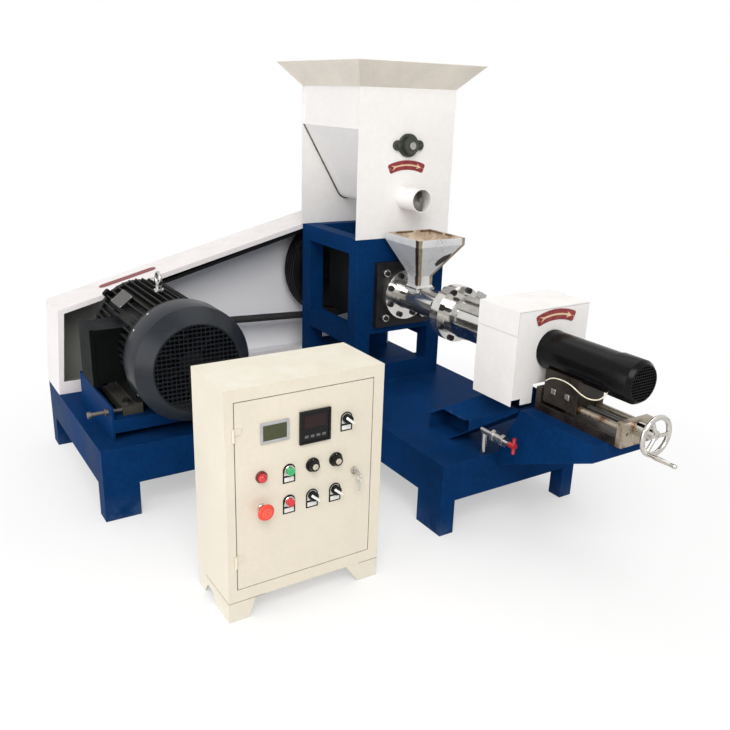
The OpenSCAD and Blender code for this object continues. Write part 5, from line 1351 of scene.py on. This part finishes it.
class MakeKeys(bpy.types.Operator):
    """Key ring with a second key on the cabinet's lock"""

    bl_idname = "extruder.make_keys"
    bl_label = "Make the keys"

    def execute(self, context):
        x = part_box("door_lock")[1].x * 1000 + ORIGIN[0] - 4
        y, z, r = -737.0, 379.0, 12
        turns = [2 * math.pi * k / 32 for k in range(33)]
        bm = bmesh.new()
        add_tube(bm, [at(x, y + r * math.cos(a), z - r + r * math.sin(a)) for a in turns], 0.0009, 8)
        piece("key_ring", bm, "chrome", "door")
        bow = [(9 * math.cos(a), -22 - 9 * math.sin(a)) for a in (math.pi * 2 * k / 20 for k in range(20))]
        blade = [(-3, -30), (3, -30), (3, -54), (0, -57), (-3, -54), (-3, -48), (-1.6, -46), (-3, -44)]
        bm = bmesh.new()
        add_plate(bm, bow, 1.8, lambda u, v, w: (x - 2.6 + w, y + u + 4, z + v))
        add_plate(bm, blade, 1.6, lambda u, v, w: (x - 2.5 + w, y + u + 4, z + v))
        piece("spare_key", bm, "chrome", "door")
        return {"FINISHED"}


def make_display():
    """A grey bezel round a dark screen."""
    y, z, w, h, inset = -1030.0, 523.0, 84.0, 58.0, 6.5
    bm = bmesh.new()
    add_bezel(bm, y, z, w, h, 7.0, 6.0)
    piece("display_bezel", bm, "bezel_grey", "door", bevel=0.0012)
    bm = bmesh.new()
    add_block(bm, (DOOR_X + 0.2, y + inset, z + inset), (DOOR_X + 3.4, y + w - inset, z + h - inset))
    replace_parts(piece("display_screen", bm, "screen_glass", "door"), "door_instruments")


def make_controller():
    """A square body with a window above and keys below."""
    y, z, s, inset = -915.0, 496.0, 96.0, 5.5
    bm = bmesh.new()
    add_bezel(bm, y, z, s, s, 6.0, 8.0)
    add_block(bm, (DOOR_X + 0.2, y + inset, z + inset), (DOOR_X + 5.0, y + s - inset, z + s - inset))
    piece("controller_body", bm, "black_plastic", "door", bevel=0.0012)
    bm = bmesh.new()
    add_block(bm, (DOOR_X + 4.8, y + 14, z + 46), (DOOR_X + 5.8, y + s - 14, z + s - 14))
    piece("controller_window", bm, "digit_window", "door", bevel=0.0006)
    bm = bmesh.new()
    for i in range(4):
        add_block(bm, (DOOR_X + 4.8, y + 15 + i * 18, z + 17), (DOOR_X + 6.6, y + 27 + i * 18, z + 25))
    piece("controller_keys", bm, "controller_keys", "door", bevel=0.0008)


def make_lamp():
    """The pilot lamp's ring and lens."""
    centre = (DOOR_X, DOOR_COLUMNS[0], DOOR_ROWS[0])
    for name, profile, label in (
        ("lamp_ring", [(0.2, 0), (0.2, 16.8), (5, 16.8), (7, 15.2), (7, 0)], "lamp_ring"),
        ("lamp_lens", [(6.5, 0), (6.5, 12.8), (14, 12.2), (18.5, 9.8), (21, 6), (21.8, 0)], "lamp_red"),
    ):
        bm = bmesh.new()
        add_lathe(bm, profile, centre)
        piece(name, bm, label, "door")


def make_button_bezels():
    """Bezels of the buttons and the mushroom head."""
    (left, second, *_), (high, low) = DOOR_COLUMNS, DOOR_ROWS
    bm = bmesh.new()
    for y, z, bore in ((second, high, 11.4), (second, low, 11.4), (left, low, 9.4)):
        outer = bore + 4.2
        add_lathe(bm, [(0.2, bore), (0.2, outer), (5.5, outer), (7, outer - 1.4), (7, bore), (0.2, bore)],
                  (DOOR_X, y, z))
    piece("button_bezels", bm, "chrome", "door")


def make_legends():
    """Black plates with a rounded top, a silver field and a blank strip; two halves leave room for a button's bore."""
    (_, second, third, fourth), (high, low) = DOOR_COLUMNS, DOOR_ROWS
    quarter = [math.pi / 2 * k / 12 for k in range(13)]
    bm = bmesh.new()
    for y, z, hole in (
        (second, high, 12.4), (second, low, 12.4), (third, low, 0), (fourth, low, 0), (*UPPER_SELECTOR, 0),
    ):

        def on_door(u, v, w):
            return (DOOR_X + 0.1 + w, y + u, z + v)

        for size, depth, drop, m in ((18.8, 1.2, -37.8, 0), (15.2, 1.4, -15.0, 1)):
            for side in (-1, 1):
                out = [(side * size * math.sin(a), size * math.cos(a)) for a in quarter]
                out += [(side * size, drop), (0, drop)]
                if hole:
                    out += [(side * hole * math.sin(2 * a), -hole * math.cos(2 * a)) for a in quarter]
                add_plate(bm, out, depth, on_door, m)
        add_plate(bm, [(-14.6, -21), (14.6, -21), (14.6, -34), (-14.6, -34)], 1.4, on_door, 2)
    piece("legend_plates", bm, "black_plastic legend_silver legend_blank", "door")


def make_selectors():
    """Round black bodies, each with a pale lever bar."""
    turn = Matrix.Rotation(math.radians(50), 4, "X")
    for node, body, y, z in (
        ("selector_left", "selector_a", DOOR_COLUMNS[2], DOOR_ROWS[1]),
        ("selector_right", "selector_b", DOOR_COLUMNS[3], DOOR_ROWS[1]),
        ("selector_upper", "selector_c", *UPPER_SELECTOR),
    ):
        bm = bmesh.new()
        add_lathe(bm, [(1.9, 0), (1.9, 13.5), (17, 13.5), (19.6, 12), (19.6, 0)], (DOOR_X, y, z), sides=40)
        middle = at(DOOR_X, y, z)
        for v in add_block(bm, (DOOR_X + 19, y - 3.6, z - 17), (DOOR_X + 27, y + 3.6, z + 15), 1):
            v.co = middle + turn @ (v.co - middle)
        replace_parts(piece(node + "_lever", bm, "black_plastic lever_white", body, bevel=0.0012), node)


def make_knobs():
    """A skirt, a ribbed body and a pale cap with a mark each."""
    z, steps, rib = DOOR_ROWS[0], 72, 0.7
    for node, body, y in (("knob_left", "knob_a", DOOR_COLUMNS[2]), ("knob_right", "knob_b", DOOR_COLUMNS[3])):
        bm = bmesh.new()
        add_lathe(bm, [(0.6, 0), (0.6, 20.8), (4, 20.8), (6, 18.4), (6, 0)], (DOOR_X, y, z))
        rings = []
        for along, radius in ((5.5, 15.5), (17, 14.2), (20, 13.2)):
            turns = [(radius + (rib if k % 4 < 2 else 0), 2 * math.pi * k / steps) for k in range(steps)]
            rings.append([bm.verts.new(at(DOOR_X + along, y + r * math.cos(a), z + r * math.sin(a))) for r, a in turns])
        span_rings(bm, rings)
        bm.faces.new(rings[-1])
        bm.faces.new(list(reversed(rings[0])))
        add_lathe(bm, [(19.8, 0), (19.8, 9), (21, 8.6), (21.4, 0)], (DOOR_X, y, z), sides=32, material=1)
        add_block(bm, (DOOR_X + 5.8, y - 0.8, z + 8), (DOOR_X + 6.4, y + 0.8, z + 18.5), 1)
        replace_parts(piece(node + "_turned", bm, "black_plastic knob_cap", body), node)


def make_mushroom_rings():
    """Pale rings on the mushroom head's face."""
    bezel_high, neck, head = 7.0, 17.0, 12.0
    face = DOOR_X + bezel_high + neck + head
    bm = bmesh.new()
    for r in (12.2, 6.0):
        add_lathe(bm, [(-0.4, r - 1.4), (0.7, r - 1.0), (0.7, r + 1.0), (-0.4, r + 1.4), (-0.4, r - 1.4)],
                  (face, DOOR_COLUMNS[0], DOOR_ROWS[1]))
    piece("mushroom_rings", bm, "mushroom_ring", "e_stop")


class MakeDoorDevices(bpy.types.Operator):
    """Display, controller, lamp, buttons, selectors, knobs and their blank legend plates"""

    bl_idname = "extruder.make_door_devices"
    bl_label = "Make the door devices"

    def execute(self, context):
        make_display()
        make_controller()
        make_lamp()
        make_button_bezels()
        make_legends()
        make_selectors()
        make_knobs()
        make_mushroom_rings()
        dress({"button_green": ["start_button"], "button_red": ["stop_button"], "mushroom_red": ["emergency_stop"]})
        return {"FINISHED"}


# ---------------------------------------------------------------- stage


def make_floor():
    """A pale floor that fades to white away from the machine and keeps its shadow."""
    size = 9.0
    mesh = bpy.data.meshes.new("floor")
    mesh.from_pydata([(-size, -size, 0), (size, -size, 0), (size, size, 0), (-size, size, 0)], [], [(0, 1, 2, 3)])
    floor = show(bpy.data.objects.new("floor", mesh))
    floor.location.z = -0.0005
    material = bpy.data.materials.new("pale_floor")
    material.use_nodes = True
    tree = material.node_tree
    pale = {"Base Color": (0.86, 0.86, 0.86, 1), "Roughness": 0.85, "Specular IOR Level": 0.2}
    shader = fill(tree, tree.nodes["Principled BSDF"], pale)
    seen = put(tree, "ShaderNodeLightPath", {}).outputs["Is Camera Ray"]
    glow = put(tree, "ShaderNodeEmission", {"Color": (1, 1, 1, 1), "Strength": 1.0})
    reach = put(tree, "ShaderNodeVectorMath", {0: object_place(tree)}, operation="LENGTH").outputs["Value"]
    share = calc(tree, "MULTIPLY", seen, remap(tree, reach, 0.7, 1.9, 0.45, 1.0))
    mix = put(tree, "ShaderNodeMixShader", {0: share, 1: shader.outputs[0], 2: glow.outputs[0]})
    tree.links.new(mix.outputs[0], tree.nodes["Material Output"].inputs["Surface"])
    mesh.materials.append(material)


def make_room():
    """White surroundings, dimmer as a light than as seen."""
    world = bpy.data.worlds.new("soft_room")
    bpy.context.scene.world = world
    world.use_nodes = True
    tree = world.node_tree
    path = put(tree, "ShaderNodeLightPath", {}).outputs
    seen = calc(tree, "MAXIMUM", path["Is Camera Ray"], path["Is Glossy Ray"])
    seen = calc(tree, "MAXIMUM", seen, path["Is Transmission Ray"])
    fill(tree, tree.nodes["Background"], {"Color": (1, 1, 1, 1), "Strength": remap(tree, seen, 0.0, 1.0, 0.55, 1.0)})


def make_lamps():
    for name, place, aim, size, share, tint in (
        ("key_lamp", (3.6, -2.0, 4.0), (0, 0, 0.6), 3.0, 1.08, (1.0, 0.98, 0.95)),
        ("fill_lamp", (0.4, -4.6, 1.5), (0, 0, 0.8), 3.4, 0.5, (0.98, 0.98, 1.0)),
        ("top_lamp", (-0.6, 0.8, 4.6), (0, 0, 0.6), 3.6, 0.25, (1.0, 1.0, 1.0)),
    ):
        data = bpy.data.lights.new(name, "AREA")
        data.size = size
        data.energy = sizes().lamp_power * share
        data.color = tint
        lamp = show(bpy.data.objects.new(name, data))
        lamp.location = place
        lamp.rotation_euler = (Vector(aim) - Vector(place)).to_track_quat("-Z", "Y").to_euler()


def make_camera():
    """The photograph's view, solved from its three vanishing points."""
    data = bpy.data.cameras.new("camera")
    data.sensor_width = 36.0
    data.lens = 39.02
    data.clip_end = 60
    right = Vector((0.5342, 0.8447, 0.0316))
    down = Vector((0.2893, -0.1476, -0.9458))
    ahead = Vector((-0.7943, 0.5144, -0.3232))
    turn = Matrix((right, -down, -ahead)).transposed().to_quaternion().to_matrix().to_4x4()
    camera = show(bpy.data.objects.new("camera", data))
    camera.matrix_world = Matrix.Translation((2.2155, -1.3390, 1.4000)) @ turn
    bpy.context.scene.camera = camera


class MakeStage(bpy.types.Operator):
    """Pale floor, soft lamps, white surroundings and the camera"""

    bl_idname = "extruder.make_stage"
    bl_label = "Set the stage"

    def execute(self, context):
        context.scene.view_settings.view_transform = "Standard"
        make_floor()
        make_room()
        make_lamps()
        make_camera()
        return {"FINISHED"}


# ---------------------------------------------------------------- add-on

OPERATORS = (
    MakeStage,
    PaintFrame,
    PaintBin,
    FinishScrewLine,
    FinishDrive,
    FinishCutter,
    PaintCabinet,
    MakeCutterWire,
    MakeDoorDevices,
    MakeArrowPlates,
    MakeCowls,
    MakeMotorPieces,
    MakePlateBolts,
    MakeChain,
    MakeHopper,
    MakeBinSeam,
    MakeCabinetSeams,
    MakeFittings,
    MakeKeys,
    MakeWelds,
)


class ExtruderPanel(bpy.types.Panel):
    """Lists the extruder's operators and its sizes and colours"""

    bl_idname = "VIEW3D_PT_extruder"
    bl_label = "Fish feed extruder"
    bl_space_type = "VIEW_3D"
    bl_region_type = "UI"
    bl_category = "Extruder"

    def draw(self, context):
        for operator in OPERATORS:
            self.layout.operator(operator.bl_idname)
        for group in (context.scene.extruder_paint, context.scene.extruder_sizes):
            for key in group.__annotations__:
                self.layout.prop(group, key)


CLASSES = (ExtruderPaint, ExtruderSizes, *OPERATORS, ExtruderPanel)


def register():
    for item in CLASSES:
        bpy.utils.register_class(item)
    bpy.types.Scene.extruder_paint = PointerProperty(type=ExtruderPaint)
    bpy.types.Scene.extruder_sizes = PointerProperty(type=ExtruderSizes)


def unregister():
    del bpy.types.Scene.extruder_paint
    del bpy.types.Scene.extruder_sizes
    for item in reversed(CLASSES):
        bpy.utils.unregister_class(item)


def main():
    register()
    for operator in OPERATORS:
        family, name = operator.bl_idname.split(".")
        getattr(getattr(bpy.ops, family), name)()


if __name__ == "__main__":
    main()
